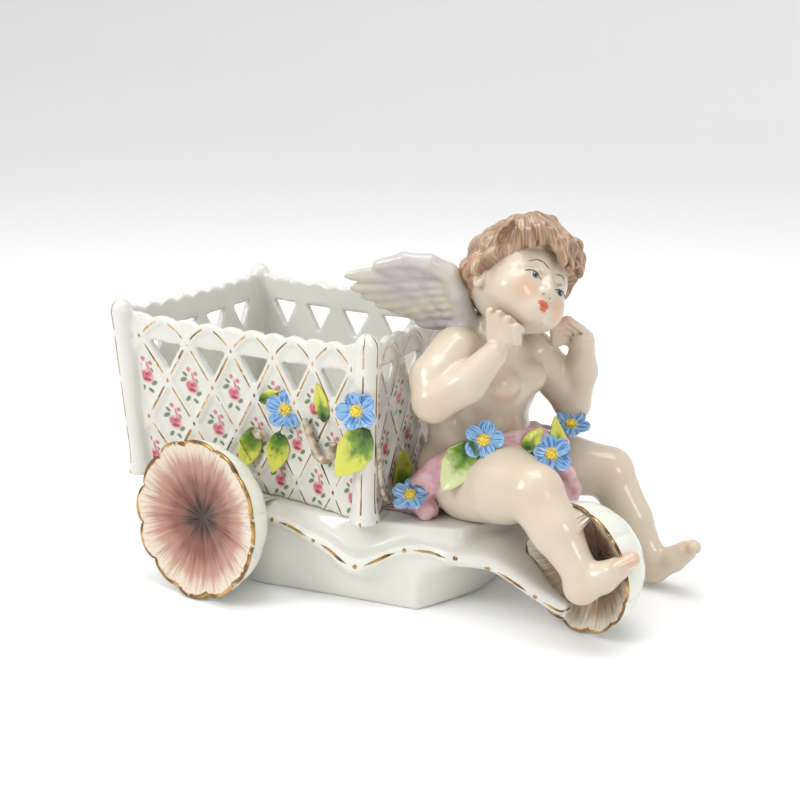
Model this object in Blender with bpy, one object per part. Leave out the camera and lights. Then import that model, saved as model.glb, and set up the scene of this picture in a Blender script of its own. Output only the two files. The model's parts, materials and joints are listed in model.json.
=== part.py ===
"""Porcelain cherub on a three-wheeled flower cart.

Metres, Z up, front of the cart towards +X, the cherub's left side towards +Y.
The plinth stands on Z = 0, and the whole group is centred on the Z axis at the end.
"""
import math

import bmesh
import bpy
from mathutils import Matrix, Vector
from mathutils.bvhtree import BVHTree

# Fits between the separately cast pieces
LUTING_GAP = 0.0003
SHARPEST_CORNER = 1.6
WHEEL_LIFT = 0.0004

# Plinth and chassis, cast as one
BASE_LENGTH = 0.136
BASE_WIDTH = 0.110
PLATFORM_HEIGHT = 0.0335
ROLL_THICKNESS = 0.005
TONGUE_LENGTH = 0.040
APRON_LENGTH = 0.040
TONGUE_THICKNESS = 0.009

# Lattice basket
BASKET_LENGTH = 0.130
BASKET_WIDTH = 0.102
BASKET_HEIGHT = 0.0735
BASKET_TAPER = 0.004
BASKET_WALL = 0.004
RIGHT_SAG, FRONT_SAG, LEFT_SAG, REAR_SAG = 0.008, 0.006, 0.005, 0.004
RIGHT_DIP, FRONT_DIP, LEFT_DIP, REAR_DIP = 0.0035, 0.0015, 0.0008, 0.0
COLUMN_SKEW = 0.018
RIM_BAND = 0.010
RIB_WIDTH = 0.0042
RIB_RELIEF = 0.0011
LATTICE_ROWS = 3.528
LONG_COLUMNS = 6
SHORT_COLUMNS = 5
LOBE_DEPTH = 0.0018
POST_RADIUS = 0.0048
POST_RISE = 0.0022

# Flower-shaped wheels
REAR_WHEEL_RADIUS = 0.0322
REAR_WHEEL_OUT = 0.021
REAR_AXLE_SHIFT = 0.0035
REAR_WHEEL_CUP = 0.005
FRONT_WHEEL_RADIUS = 0.0255
FRONT_WHEEL_DOME = 0.025
FRONT_WHEEL_CUP = 0.013
WHEEL_LIP = 0.0016
WHEEL_LOBES = 12

# Cherub, from the seat to the crown
FIGURE_HEIGHT = 0.120
SEAT_BACK = 0.024
SEAT_RISE = 0.001
VOXEL = 0.0012
FIGURE_FACES = 2500

# Applied forget-me-nots, leaves and twigs
FLOWER_WIDTH = 0.0155
FLOWER_DEPTH = 0.0030
LEAF_LENGTH = 0.025
LEAF_WIDTH = 0.015
LEAF_THICKNESS = 0.0019
TWIG_RADIUS = 0.0011
TWIG_STANDOFF = 0.0009

# Places worked out from the sizes
BASE_REAR = -0.5735 * BASE_LENGTH
BASE_FRONT = BASE_REAR + BASE_LENGTH
BASKET_FLOOR = PLATFORM_HEIGHT + LUTING_GAP
BASKET_RIM = BASKET_FLOOR + BASKET_HEIGHT
BASKET_FRONT = BASE_FRONT - APRON_LENGTH
BASKET_CENTRE = BASKET_FRONT - BASKET_LENGTH / 2
LATTICE_STEP = (BASKET_HEIGHT - RIM_BAND) / LATTICE_ROWS
SEAT = Vector((BASE_FRONT - SEAT_BACK, 0, PLATFORM_HEIGHT + SEAT_RISE))

GLAZE = (0.86, 0.86, 0.82)
FLESH = (0.84, 0.74, 0.62)
MAUVE = (0.55, 0.33, 0.27)
BLUE = (0.18, 0.42, 0.75)
LEAF_GREEN = (0.30, 0.42, 0.08)
TWIG_BROWN = (0.62, 0.52, 0.38)


def clear_scene():
    for item in list(bpy.data.objects):
        bpy.data.objects.remove(item, do_unlink=True)


def porcelain(name, colour):
    material = bpy.data.materials.new(name)
    material.use_nodes = True
    shader = material.node_tree.nodes["Principled BSDF"]
    shader.inputs["Base Color"].default_value = (*colour, 1)
    shader.inputs["Roughness"].default_value = 0.12
    shader.inputs["Metallic"].default_value = 0
    return material


def add_object(name, mesh, material):
    item = bpy.data.objects.new(name, mesh)
    bpy.context.scene.collection.objects.link(item)
    mesh.materials.clear()
    mesh.materials.append(material)
    return item


def object_from_bmesh(name, bm, material):
    """Finish a piece; flat triangles keep its cuts true to its faces."""
    bmesh.ops.recalc_face_normals(bm, faces=bm.faces)
    bmesh.ops.triangulate(bm, faces=bm.faces)
    mesh = bpy.data.meshes.new(name)
    bm.to_mesh(mesh)
    bm.free()
    return add_object(name, mesh, material)


def bake(item):
    """Replace an object's mesh by its evaluated one and drop the modifiers."""
    bpy.context.view_layer.update()
    graph = bpy.context.evaluated_depsgraph_get()
    mesh = bpy.data.meshes.new_from_object(item.evaluated_get(graph))
    item.modifiers.clear()
    item.data = mesh
    return item


def keep_largest_shell(item):
    """Drop the slivers that a cut leaves beside the piece."""
    bm = bmesh.new()
    bm.from_mesh(item.data)
    bmesh.ops.remove_doubles(bm, verts=bm.verts, dist=0.00001)
    waiting = set(bm.faces)
    shells = []
    while waiting:
        stack = [waiting.pop()]
        shell = set(stack)
        while stack:
            for edge in stack.pop().edges:
                sides = edge.link_faces if len(edge.link_faces) == 2 else ()
                for other in sides:
                    if other not in shell:
                        shell.add(other)
                        stack.append(other)
        waiting -= shell
        shells.append(shell)
    shells.sort(key=lambda shell: sum(face.calc_area() for face in shell), reverse=True)
    extra = [face for shell in shells[1:] for face in shell]
    if extra:
        bmesh.ops.delete(bm, geom=extra, context="FACES")
    bm.to_mesh(item.data)
    bm.free()


def combine(item, tool, operation):
    modifier = item.modifiers.new(operation.title(), "BOOLEAN")
    modifier.operation = operation
    modifier.solver = "EXACT"
    modifier.object = tool
    bake(item)
    bpy.data.objects.remove(tool, do_unlink=True)


def grown_copy(item, amount):
    """A cutter in the shape of a neighbour, larger by the gap that is kept to it."""
    bm = bmesh.new()
    bm.from_mesh(item.data)
    bm.normal_update()
    moves = [vertex.normal * min(SHARPEST_CORNER, vertex.calc_shell_factor()) * amount
             for vertex in bm.verts]
    for vertex, move in zip(bm.verts, moves):
        vertex.co += move
    mesh = bpy.data.meshes.new("cutter")
    bm.to_mesh(mesh)
    bm.free()
    cutter = bpy.data.objects.new("cutter", mesh)
    cutter.hide_render = True
    cutter.display_type = "WIRE"
    bpy.context.scene.collection.objects.link(cutter)
    return cutter


def boxes_meet(first, second, margin):
    for axis in range(3):
        a = [vertex.co[axis] for vertex in first.data.vertices]
        b = [vertex.co[axis] for vertex in second.data.vertices]
        if max(a) + margin < min(b) or max(b) + margin < min(a):
            return False
    return True


def fit_against(item, neighbours):
    """Cut a piece so that it beds on its neighbours with the luting gap."""
    for neighbour in neighbours:
        if boxes_meet(item, neighbour, LUTING_GAP):
            combine(item, grown_copy(neighbour, LUTING_GAP), "DIFFERENCE")
    keep_largest_shell(item)
    return item


def smooth_round(points, steps):
    """A closed curve through the points, with a few points between each pair."""
    count = len(points)
    result = []
    for index in range(count):
        before = points[index - 1]
        start = points[index]
        end = points[(index + 1) % count]
        after = points[(index + 2) % count]
        for step in range(steps):
            t = step / steps
            bend = (2 * before - 5 * start + 4 * end - after) * t * t
            twist = (3 * start - before - 3 * end + after) * t ** 3
            result.append(0.5 * (2 * start + (end - before) * t + bend + twist))
    return result


def loft(bm, rings):
    """Skin a stack of closed rings and cap both ends."""
    rows = [[bm.verts.new(point) for point in ring] for ring in rings]
    count = len(rings[0])
    for low, high in zip(rows, rows[1:]):
        for index in range(count):
            after = (index + 1) % count
            bm.faces.new((low[index], low[after], high[after], high[index]))
    bm.faces.new(list(reversed(rows[0])))
    bm.faces.new(rows[-1])
    return rows


# Plinth and chassis

# Half of each level's outline from the rear to the front: the share of the length, and the share
# of the half width. The three lists match point for point.
PLINTH_HALF = (
    (0.00, 0.00), (0.00, 0.54), (0.05, 0.86), (0.28, 0.98), (0.42, 0.93), (0.49, 0.90), (0.56, 0.87),
    (0.66, 0.83), (0.75, 0.80), (0.79, 0.78), (0.82, 0.76), (0.87, 0.49), (0.905, 0.26), (0.91, 0.00))
ROLL_HALF = (
    (-0.03, 0.00), (-0.03, 0.60), (0.02, 0.95), (0.28, 1.00), (0.42, 1.00), (0.49, 1.00), (0.56, 1.00),
    (0.66, 1.00), (0.75, 0.87), (0.79, 0.82), (0.86, 0.76), (0.93, 0.73), (0.99, 0.40), (1.00, 0.00))
PLATFORM_HALF = (
    (-0.01, 0.00), (-0.01, 0.52), (0.03, 0.77), (0.28, 0.81), (0.42, 0.81), (0.49, 0.81), (0.56, 0.80),
    (0.66, 0.76), (0.75, 0.69), (0.79, 0.66), (0.86, 0.62), (0.92, 0.54), (0.96, 0.28), (0.97, 0.00))
# Height of the scrolled roll at the same points, as a share of the platform height
ROLL_WAVE = (0.88, 0.88, 0.90, 0.94, 0.91, 0.82, 0.73, 0.56, 0.73, 0.79, 0.79, 0.76, 0.79, 0.79)
# Stages of the chassis section: share of the way from plinth to roll, then from roll to platform
ROLL_UNDERCUT = 0.10
# Sections across the tongue from the chassis to its tip: share of the tongue's length, right edge,
# left edge and top as shares of the half width and the platform height, and share of its thickness
TONGUE_SECTIONS = (
    (-0.25, -0.73, 0.66, 0.82, 1.00), (-0.02, -0.69, 0.50, 0.85, 1.05), (0.12, -0.66, 0.10, 0.82, 1.00),
    (0.22, -0.65, -0.15, 0.77, 0.95), (0.33, -0.64, -0.30, 0.70, 0.90), (0.50, -0.62, -0.38, 0.58, 0.85),
    (0.66, -0.60, -0.45, 0.47, 0.78), (0.80, -0.60, -0.49, 0.40, 0.66), (0.87, -0.59, -0.52, 0.37, 0.40))
TONGUE_SIDES = 14


def outline(half, height, steps=2):
    """A level of the chassis, mirrored across the cart; height is a value or one value a point."""
    heights = [height] * len(half) if isinstance(height, float) else height
    right = []
    for (along, across), level in zip(half, heights):
        place = (BASE_REAR + along * BASE_LENGTH, -across * BASE_WIDTH / 2, level)
        right.append(Vector(place))
    left = [Vector((p.x, -p.y, p.z)) for p in reversed(right[1:-1])]
    return smooth_round(right + left, steps)


def tongue_rings():
    rings = []
    for along, right, left, top, share in TONGUE_SECTIONS:
        x = BASE_FRONT + along * TONGUE_LENGTH
        middle = (right + left) / 2 * BASE_WIDTH / 2
        half_width = (left - right) / 2 * BASE_WIDTH / 2
        half_depth = share * TONGUE_THICKNESS / 2
        z = top * PLATFORM_HEIGHT - half_depth
        ring = []
        for side in range(TONGUE_SIDES):
            angle = 2 * math.pi * side / TONGUE_SIDES
            square = 0.6
            y_share = math.copysign(abs(math.cos(angle)) ** square, math.cos(angle))
            z_share = math.copysign(abs(math.sin(angle)) ** square, math.sin(angle))
            ring.append(Vector((x, middle + half_width * y_share, z + half_depth * z_share)))
        rings.append(ring)
    return rings


def make_base(material):
    wave = [share * PLATFORM_HEIGHT for share in ROLL_WAVE]
    plinth = outline(PLINTH_HALF, 0.0)
    roll = outline(ROLL_HALF, wave)
    platform = outline(PLATFORM_HALF, PLATFORM_HEIGHT)
    down = Vector((0, 0, ROLL_THICKNESS))

    foot = [p.lerp(r, ROLL_UNDERCUT) for p, r in zip(plinth, roll)]
    waist = [p.lerp(r, 0.55) for p, r in zip(plinth, roll)]
    for low, p in zip(waist, plinth):
        low.x = p.x + (low.x - p.x) * 0.6
        low.y = p.y + (low.y - p.y) * 0.6
    under = [r - down - (r - s).normalized() * 0.3 * ROLL_THICKNESS for r, s in zip(roll, platform)]
    outer = [r - down / 2 for r in roll]
    crest = [r.lerp(s, 0.12) for r, s in zip(roll, platform)]
    hollow = []
    for r, s in zip(roll, platform):
        point = r.lerp(s, 0.6)
        point.z -= 0.28 * (s.z - r.z)
        hollow.append(point)
    bm = bmesh.new()
    loft(bm, [plinth, foot, waist, under, outer, crest, hollow, platform])
    base = object_from_bmesh("base", bm, material)
    bm = bmesh.new()
    loft(bm, tongue_rings())
    tongue = object_from_bmesh("tongue", bm, material)
    combine(base, tongue, "UNION")
    keep_largest_shell(base)
    return base


# Lattice basket

SAGS = (RIGHT_SAG, FRONT_SAG, LEFT_SAG, REAR_SAG)
DIPS = (RIGHT_DIP, FRONT_DIP, LEFT_DIP, REAR_DIP)


def wall_point(side, along, height, inset=0.0, out=0.0):
    """A point on a wall: side 0 right, 1 front, 2 left, 3 rear; along runs 0 to 1 round the basket."""
    share = (height - BASKET_FLOOR) / BASKET_HEIGHT
    half_length = BASKET_LENGTH / 2 - BASKET_TAPER * (1 - share) - inset
    half_width = BASKET_WIDTH / 2 - 0.75 * BASKET_TAPER * (1 - share) - inset
    bow = 4 * along * (1 - along)
    dip = DIPS[side] * bow * max(0.0, share) ** 0.5
    z = height - dip
    if side % 2 == 0:
        x = -half_length + 2 * half_length * along
        y = -half_width + SAGS[side] * bow - out
    else:
        x = half_length - SAGS[side] * bow + out
        y = -half_width + 2 * half_width * along
    if side >= 2:
        x, y = -x, -y
    return Vector((BASKET_CENTRE + x, y, z))


def rim_height(column):
    """The rim is a row of round lobes, two to a lattice column."""
    return BASKET_RIM - LOBE_DEPTH * (1 - abs(math.cos(2 * math.pi * column)) ** 0.7)


def column_place(column, columns):
    """Where a lattice column stands along its wall; the hand-made columns crowd a little."""
    share = column / columns
    return share + COLUMN_SKEW * math.sin(math.pi * share)


def lattice_levels():
    top = BASKET_RIM - RIM_BAND
    return [top - LATTICE_STEP * row for row in range(4)]


def lattice_cells(columns):
    """Cells of one wall, each a kind and its corners as (column, level)."""
    level = lattice_levels()
    last = columns
    cells = []
    for column in range(1, last):
        cells.append(("hole", [(column - 0.5, level[0]), (column, level[1]),
                               (column + 0.5, level[0]), (column, level[0])]))
    cells.append(("corner", [(0, level[0]), (0, level[1]), (0.5, level[0])]))
    cells.append(("corner", [(last - 0.5, level[0]), (last, level[1]), (last, level[0])]))
    for column in range(last):
        middle = column + 0.5
        upper = [(middle, level[0]), (column, level[1]), (middle, level[2]), (column + 1, level[1])]
        lower = [(middle, level[2]), (column, level[3]), (column, BASKET_FLOOR),
                 (column + 1, BASKET_FLOOR), (column + 1, level[3])]
        cells.append(("panel", upper))
        cells.append(("panel", lower))
    for column in range(1, last):
        cells.append(("panel", [(column, level[1]), (column - 0.5, level[2]),
                                (column, level[3]), (column + 0.5, level[2])]))
    cells.append(("panel", [(0, level[1]), (0, level[3]), (0.5, level[2])]))
    cells.append(("panel", [(last, level[1]), (last - 0.5, level[2]), (last, level[3])]))
    return cells


def skin(bm, inset):
    """One face of the basket's wall; returns its panels, its holes, and its rim and floor edges."""
    found = {}

    def vertex(side, column, columns, height):
        point = wall_point(side, column_place(column, columns), height, inset)
        key = tuple(round(value, 7) for value in point)
        if key not in found:
            found[key] = bm.verts.new(point)
        return found[key]

    panels, holes, rim, floor = [], [], [], []
    band_foot = lattice_levels()[0]
    for side in range(4):
        columns = LONG_COLUMNS if side % 2 == 0 else SHORT_COLUMNS
        for kind, corners in lattice_cells(columns):
            loop = [vertex(side, column, columns, height) for column, height in corners]
            face = bm.faces.new(loop)
            if kind == "panel":
                panels.append(face)
            if kind == "hole":
                holes.append(face)
        for column in range(columns):
            floor.append(vertex(side, column, columns, BASKET_FLOOR))
        for half in range(2 * columns):
            start = half / 2
            steps = [start + part / 8 for part in range(5)]
            top = [vertex(side, step, columns, rim_height(step)) for step in steps]
            low = [vertex(side, start, columns, band_foot), vertex(side, start + 0.5, columns, band_foot)]
            bm.faces.new(top + [low[1], low[0]])
            rim.extend(top[:-1])
    return panels, holes, rim, floor


def pierce(bm, outer_holes, inner_holes):
    """Open the cells between the ribs right through the wall."""
    for outside, inside in zip(outer_holes, inner_holes):
        for face in (outside, inside):
            bmesh.ops.inset_individual(bm, faces=[face], thickness=RIB_WIDTH * 0.45, depth=0)
        outer_ring = list(outside.verts)
        inner_ring = list(inside.verts)
        bm.faces.remove(outside)
        bm.faces.remove(inside)
        count = len(outer_ring)
        for index in range(count):
            after = (index + 1) % count
            bm.faces.new((outer_ring[index], outer_ring[after], inner_ring[after], inner_ring[index]))


def make_basket(material):
    bm = bmesh.new()
    panels, outer_holes, outer_rim, outer_floor = skin(bm, 0.0)
    inner = skin(bm, BASKET_WALL)
    inner_holes, inner_rim, inner_floor = inner[1], inner[2], inner[3]
    bm.normal_update()
    for face in panels:
        if face.normal.dot(face.calc_center_median() - Vector((BASKET_CENTRE, 0, BASKET_RIM / 2))) < 0:
            face.normal_flip()
    pierce(bm, outer_holes, inner_holes)
    bmesh.ops.inset_individual(bm, faces=panels, thickness=RIB_WIDTH / 2, depth=-RIB_RELIEF)
    count = len(outer_rim)
    crest = []
    for outside, inside in zip(outer_rim, inner_rim):
        crest.append(bm.verts.new(outside.co.lerp(inside.co, 0.5) + Vector((0, 0, 0.3 * BASKET_WALL))))
    for index in range(count):
        after = (index + 1) % count
        bm.faces.new((outer_rim[index], outer_rim[after], crest[after], crest[index]))
        bm.faces.new((crest[index], crest[after], inner_rim[after], inner_rim[index]))
    for vertex in inner_floor:
        vertex.co.z = BASKET_FLOOR + BASKET_WALL
    bm.faces.new(outer_floor)
    bm.faces.new(inner_floor)
    basket = object_from_bmesh("basket", bm, material)
    for side in range(4):
        combine(basket, make_post(side, material), "UNION")
    keep_largest_shell(basket)
    return basket


def make_post(side, material):
    """A rounded corner moulding with a spreading foot, fused with the walls that meet there."""
    corner_low = wall_point(side, 0.0, BASKET_FLOOR)
    corner_high = wall_point(side, 0.0, BASKET_RIM)
    inward = Vector((BASKET_CENTRE - corner_high.x, -corner_high.y, 0)).normalized()
    stages = ((0.0, 1.15), (0.035, 1.25), (0.13, 1.0), (0.96, 1.0), (1.0, 0.6))
    sides = 8
    rings = []
    for share, girth in stages:
        centre = corner_low.lerp(corner_high, share)
        centre.z = BASKET_FLOOR + share * (BASKET_HEIGHT + POST_RISE)
        centre += inward * 0.85 * POST_RADIUS
        ring = []
        for step in range(sides):
            angle = 2 * math.pi * step / sides
            reach = POST_RADIUS * girth
            ring.append(centre + Vector((math.cos(angle), math.sin(angle), 0)) * reach)
        rings.append(ring)
    bm = bmesh.new()
    loft(bm, rings)
    return object_from_bmesh("post", bm, material)


# Flower-shaped wheels

def lobe(angle):
    """1 in the middle of a petal lobe, less in the notches of the ruffled rim."""
    return abs(math.cos(WHEEL_LOBES * angle / 2)) ** 0.6


def make_wheel(name, material, radius, dome, cup, taper, facing, centre_x, centre_y):
    """A morning-glory trumpet: a cupped, fluted face in front and a smooth egg-shaped back."""
    segments = 3 * WHEEL_LOBES
    front_stages = (0.15, 0.75)
    back_angles = (25, 58)
    rings = []
    for share in front_stages:
        ring = []
        for step in range(segments):
            angle = 2 * math.pi * (step + 0.5) / segments
            flute = 0.03 * radius * (lobe(angle) - 0.6) * share
            ring.append((angle, radius * share, -cup * (1 - share ** 1.3) + flute))
        rings.append(ring)
    for share, drop in ((1.0, 0.0), (1.0, 1.0)):
        ring = []
        for step in range(segments):
            angle = 2 * math.pi * (step + 0.5) / segments
            edge = radius * (0.955 + 0.045 * lobe(angle)) * share
            ring.append((angle, edge, 0.02 * radius * lobe(angle) - drop * WHEEL_LIP))
        rings.append(ring)
    for degrees in back_angles:
        turn = math.radians(degrees)
        ring = []
        for step in range(segments):
            angle = 2 * math.pi * (step + 0.5) / segments
            ripple = (0.955 + 0.045 * lobe(angle)) * math.cos(turn) + (1 - math.cos(turn))
            reach = radius * ripple * math.cos(turn) ** taper
            ring.append((angle, reach, -WHEEL_LIP - dome * math.sin(turn)))
        rings.append(ring)
    turn_to = facing.to_track_quat("Z", "Y").to_matrix()
    stack = []
    for ring in rings:
        points = []
        for angle, reach, height in ring:
            points.append(turn_to @ Vector((reach * math.cos(angle), reach * math.sin(angle), height)))
        stack.append(points)
    lowest = min(point.z for points in stack for point in points)
    place = Vector((centre_x, centre_y, WHEEL_LIFT - lowest))
    stack = [[point + place for point in points] for points in stack]
    bm = bmesh.new()
    loft(bm, stack)
    return object_from_bmesh(name, bm, material)


# Cherub. Places are in hundred-and-twentieths of the sitting height, from the middle of the seat.

def spot(x, y, z):
    return SEAT + Vector((x, y, z)) * FIGURE_HEIGHT / 120


def size(value):
    return value * FIGURE_HEIGHT / 120


def ball(bm, centre, radii, turn=None):
    scale = Vector([size(value) for value in radii])
    rotation = turn if turn is not None else Matrix.Identity(3)
    matrix = Matrix.LocRotScale(centre, rotation, scale)
    bmesh.ops.create_icosphere(bm, subdivisions=3, radius=1.0, matrix=matrix)


def limb(bm, points, radii):
    """A chain of tapering round bars through the points."""
    for centre, radius in zip(points, radii):
        ball(bm, centre, (radius, radius, radius))
    for start, end, low, high in zip(points, points[1:], radii, radii[1:]):
        along = end - start
        matrix = Matrix.Translation((start + end) / 2) @ along.to_track_quat("Z", "Y").to_matrix().to_4x4()
        bmesh.ops.create_cone(bm, cap_ends=True, segments=20, radius1=size(low), radius2=size(high),
                              depth=along.length, matrix=matrix)


HEAD_CENTRE = (19.8, -1.9, 90.0)
HEAD_YAW, HEAD_PITCH, HEAD_ROLL = -16.5, 24.5, -40
CHEST_YAW = -15
NEAR, FAR = -1, 1


def head_turn():
    yaw = Matrix.Rotation(math.radians(HEAD_YAW), 3, "Z")
    pitch = Matrix.Rotation(-math.radians(HEAD_PITCH), 3, "Y")
    roll = Matrix.Rotation(math.radians(HEAD_ROLL), 3, "X")
    return yaw @ pitch @ roll


def face_spot(left, front, up):
    return spot(*HEAD_CENTRE) + head_turn() @ Vector((size(front), size(left), size(up)))


def add_torso(bm):
    turn = Matrix.Rotation(math.radians(CHEST_YAW), 3, "Z")
    ball(bm, spot(0, 0, 14), (21, 25, 17))
    ball(bm, spot(4, -1, 31), (20, 21.5, 18), turn)
    ball(bm, spot(9, 0, 50), (16.5, 21, 18), turn)
    ball(bm, spot(8, -12, 60), (11, 12, 11), turn)
    ball(bm, spot(13, 11, 57), (11, 11, 10), turn)
    limb(bm, [spot(11, -1, 66), spot(15, -1, 80)], [10, 8.5])


def add_arms(bm):
    limb(bm, [spot(3, -19, 66), spot(0, -31, 58), spot(3, -37, 51)], [10.5, 9.5, 8.0])
    limb(bm, [spot(3, -37, 51), spot(14, -31, 58), spot(22, -25, 69)], [8.0, 7.4, 5.2])
    limb(bm, [spot(18, 18, 60), spot(27, 25, 48), spot(32, 28, 38)], [9.5, 8.6, 7.4])
    limb(bm, [spot(32, 28, 38), spot(36, 26, 53), spot(37.5, 23, 66)], [7.4, 6.8, 4.8])
    ball(bm, spot(25, -21.5, 77), (6.6, 4.6, 6.4))
    for finger in range(4):
        along = finger * 3.5
        top = 85.4 - 0.5 * finger ** 2
        start = spot(20.2 + along, -26.0, 76.5)
        bend = spot(20.4 + along, -25.4, top)
        tip = spot(20.8 + along, -21, top - 2)
        limb(bm, [start, bend, tip], [2.1, 2.1, 1.9])
    ball(bm, spot(37.5, 21.5, 67), (4.8, 5.0, 5.0))
    for finger in range(4):
        drop = finger * 2.7
        start = spot(38 - 0.3 * drop, 20.5 + 0.4 * drop, 71 - drop)
        bend = spot(33.5 - 0.2 * drop, 16.5 + 0.4 * drop, 75.3 - drop)
        tip = spot(28.5 - 0.1 * drop, 14.5 + 0.4 * drop, 73 - drop)
        limb(bm, [start, bend, tip], [2.3, 2.2, 2.0])


def add_legs(bm):
    limb(bm, [spot(8, -14, 12), spot(28, -24, 18), spot(43, -31.5, 20)], [16, 15.0, 11.5])
    limb(bm, [spot(43, -31.5, 20), spot(54, -35, 9), spot(65, -37.5, -4)], [11.0, 9.6, 6.4])
    limb(bm, [spot(65, -37.5, -4), spot(66.5, -38, -10)], [6.4, 6.4])
    limb(bm, [spot(66.5, -38, -10), spot(74, -37, -5), spot(79, -36, -1)], [6.4, 5.6, 4.6])
    for toe in range(5):
        side = toe / 4
        place = spot(83.5 - 3.5 * side, -33 - 6.5 * side, 3.0 - 1.5 * side)
        radius = 3.0 - 1.0 * side
        ball(bm, place, (radius, radius, radius))
    limb(bm, [spot(12, 14, 11), spot(32, 25, 12), spot(48, 31.5, 10)], [14.5, 12.5, 10.5])
    limb(bm, [spot(48, 31.5, 10), spot(60, 30, -8), spot(69, 28.5, -21)], [10.0, 8.2, 5.6])
    limb(bm, [spot(69, 28.5, -21), spot(71, 28.5, -27)], [5.8, 5.8])
    limb(bm, [spot(71, 28.5, -27), spot(79, 28, -21), spot(84, 28, -16.5)], [5.8, 5.0, 4.4])
    for toe in range(5):
        side = toe / 4
        place = spot(88.0 - 3.0 * side, 25.5 + 7.0 * side, -13.0 - 1.5 * side)
        radius = 3.0 - 1.0 * side
        ball(bm, place, (radius, radius, radius))


def add_head(bm):
    turn = head_turn()
    ball(bm, face_spot(0, 0, 3), (19.5, 18.4, 18.5), turn)
    ball(bm, face_spot(0, 4, -7), (14.5, 13.6, 12.0), turn)
    ball(bm, face_spot(0, 12.6, -14.6), (6.2, 6.4, 5.0), turn)
    for side in (NEAR, FAR):
        ball(bm, face_spot(side * 7.8, 8.4, -8.0), (8.3, 8.3, 8.0), turn)
        ball(bm, face_spot(side * 2.0, 18.2, -8.8), (1.5, 1.5, 1.3), turn)
    limb(bm, [face_spot(0, 17.6, -1), face_spot(0, 20.0, -7.6)], [1.6, 2.1])
    limb(bm, [face_spot(-2.6, 17.0, -13.0), face_spot(2.6, 17.0, -13.0)], [1.4, 1.4])
    limb(bm, [face_spot(-1.8, 16.6, -15.0), face_spot(1.8, 16.6, -15.0)], [1.4, 1.4])


def skull_spot(around, height, reach):
    """A point at a distance from the middle of the skull, in a direction given in radians."""
    front = math.cos(height) * math.cos(around)
    left = math.cos(height) * math.sin(around)
    return face_spot(left * reach, front * reach + 3.0, math.sin(height) * reach + 3.5)


def bare(around, height):
    """True where no lock lies: over the face, and low on the sides."""
    front = math.cos(height) * math.cos(around)
    if math.sin(height) > 0.25:
        return False
    return front > 0.35 or math.sin(height) < 0.62 * front - 0.35


def add_hair(bm):
    """A cap with short wavy locks in rings over it, and a combed fringe over the forehead."""
    turn = head_turn()
    ball(bm, face_spot(0, -3, 6), (19, 20, 19.5), turn)
    for ring, (tilt, count) in enumerate(((62, 9), (38, 14), (14, 16), (-10, 16), (-32, 12))):
        for index in range(count):
            around = 2 * math.pi * (index + 0.5 * (ring % 2)) / count
            height = math.radians(tilt + 4 * math.sin(3 * around + ring))
            if bare(around, height):
                continue
            place = skull_spot(around, height, 20.5 + 0.8 * math.sin(2.3 * index + ring))
            twist = Matrix.Rotation(around + 0.5 * math.sin(index * 1.7), 3, "Z")
            lean = Matrix.Rotation(-height, 3, "Y")
            ball(bm, place, (4.0, 5.0, 5.8), turn @ twist @ lean)
    for index in range(7):
        side = index / 3 - 1
        crown = skull_spot(0.9 * side, math.radians(70), 20)
        brow = skull_spot(0.85 * side, math.radians(42), 21.5)
        edge = skull_spot(0.80 * side, math.radians(20 - 6 * side * side), 19.8)
        limb(bm, [crown, brow, edge], [4.0, 3.9, 2.8])


def add_wing(bm, side):
    """Overlapping feathers that fan from the arm of the wing; the far wing mirrors the near one."""
    feathers = (
        ((-2, -15, 96), (-38.5, -30.5, 94), 5.0), ((-2, -14, 93), (-37.5, -28, 89), 5.2),
        ((-2, -13, 90), (-34.5, -25.5, 85.5), 5.2), ((-2, -12, 87), (-30, -22.5, 82), 5.0),
        ((-1, -11, 84), (-25.5, -20, 80), 4.8), ((-1, -10, 80), (-21.5, -17.5, 78.5), 4.6),
        ((-1, -9, 76), (-17.5, -14.5, 75.0), 4.6), ((-4, -17, 97), (-27, -27.5, 97.5), 5.6),
        ((-3, -17, 97), (-20, -25, 100), 5.4))
    hinge = Vector((2.0, 0.0))
    facing = Matrix.Rotation(math.radians(CHEST_YAW), 2)

    def winged(x, y, z):
        if side == NEAR:
            return spot(x, y, z)
        local = facing.inverted() @ (Vector((x, y)) - hinge)
        local.y = -local.y
        flat = facing @ local + hinge
        return spot(flat.x, flat.y, z)

    across = (winged(-2, -15, 96) - winged(-1, -9, 76)).normalized()
    for start, end, width in feathers:
        root, tip = winged(*start), winged(*end)
        along = (tip - root).normalized()
        normal = along.cross(across).normalized()
        edge = normal.cross(along)
        turn = Matrix((along, edge, normal)).transposed()
        half = (tip - root).length / 2
        ball(bm, root.lerp(tip, 0.53), (half / size(1) * 1.08, width, 2.4), turn)
    arm = [winged(1, -8, 76), winged(0, -13, 88), winged(-2, -17, 96.5), winged(-8, -21.5, 100.5),
           winged(-17, -25.5, 101.5), winged(-27, -28, 99)]
    limb(bm, arm, [5.0, 4.4, 3.8, 3.4, 2.8, 2.2])
    limb(bm, [winged(3, -6, 64), winged(1, -8, 76)], [6.0, 5.0])


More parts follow.
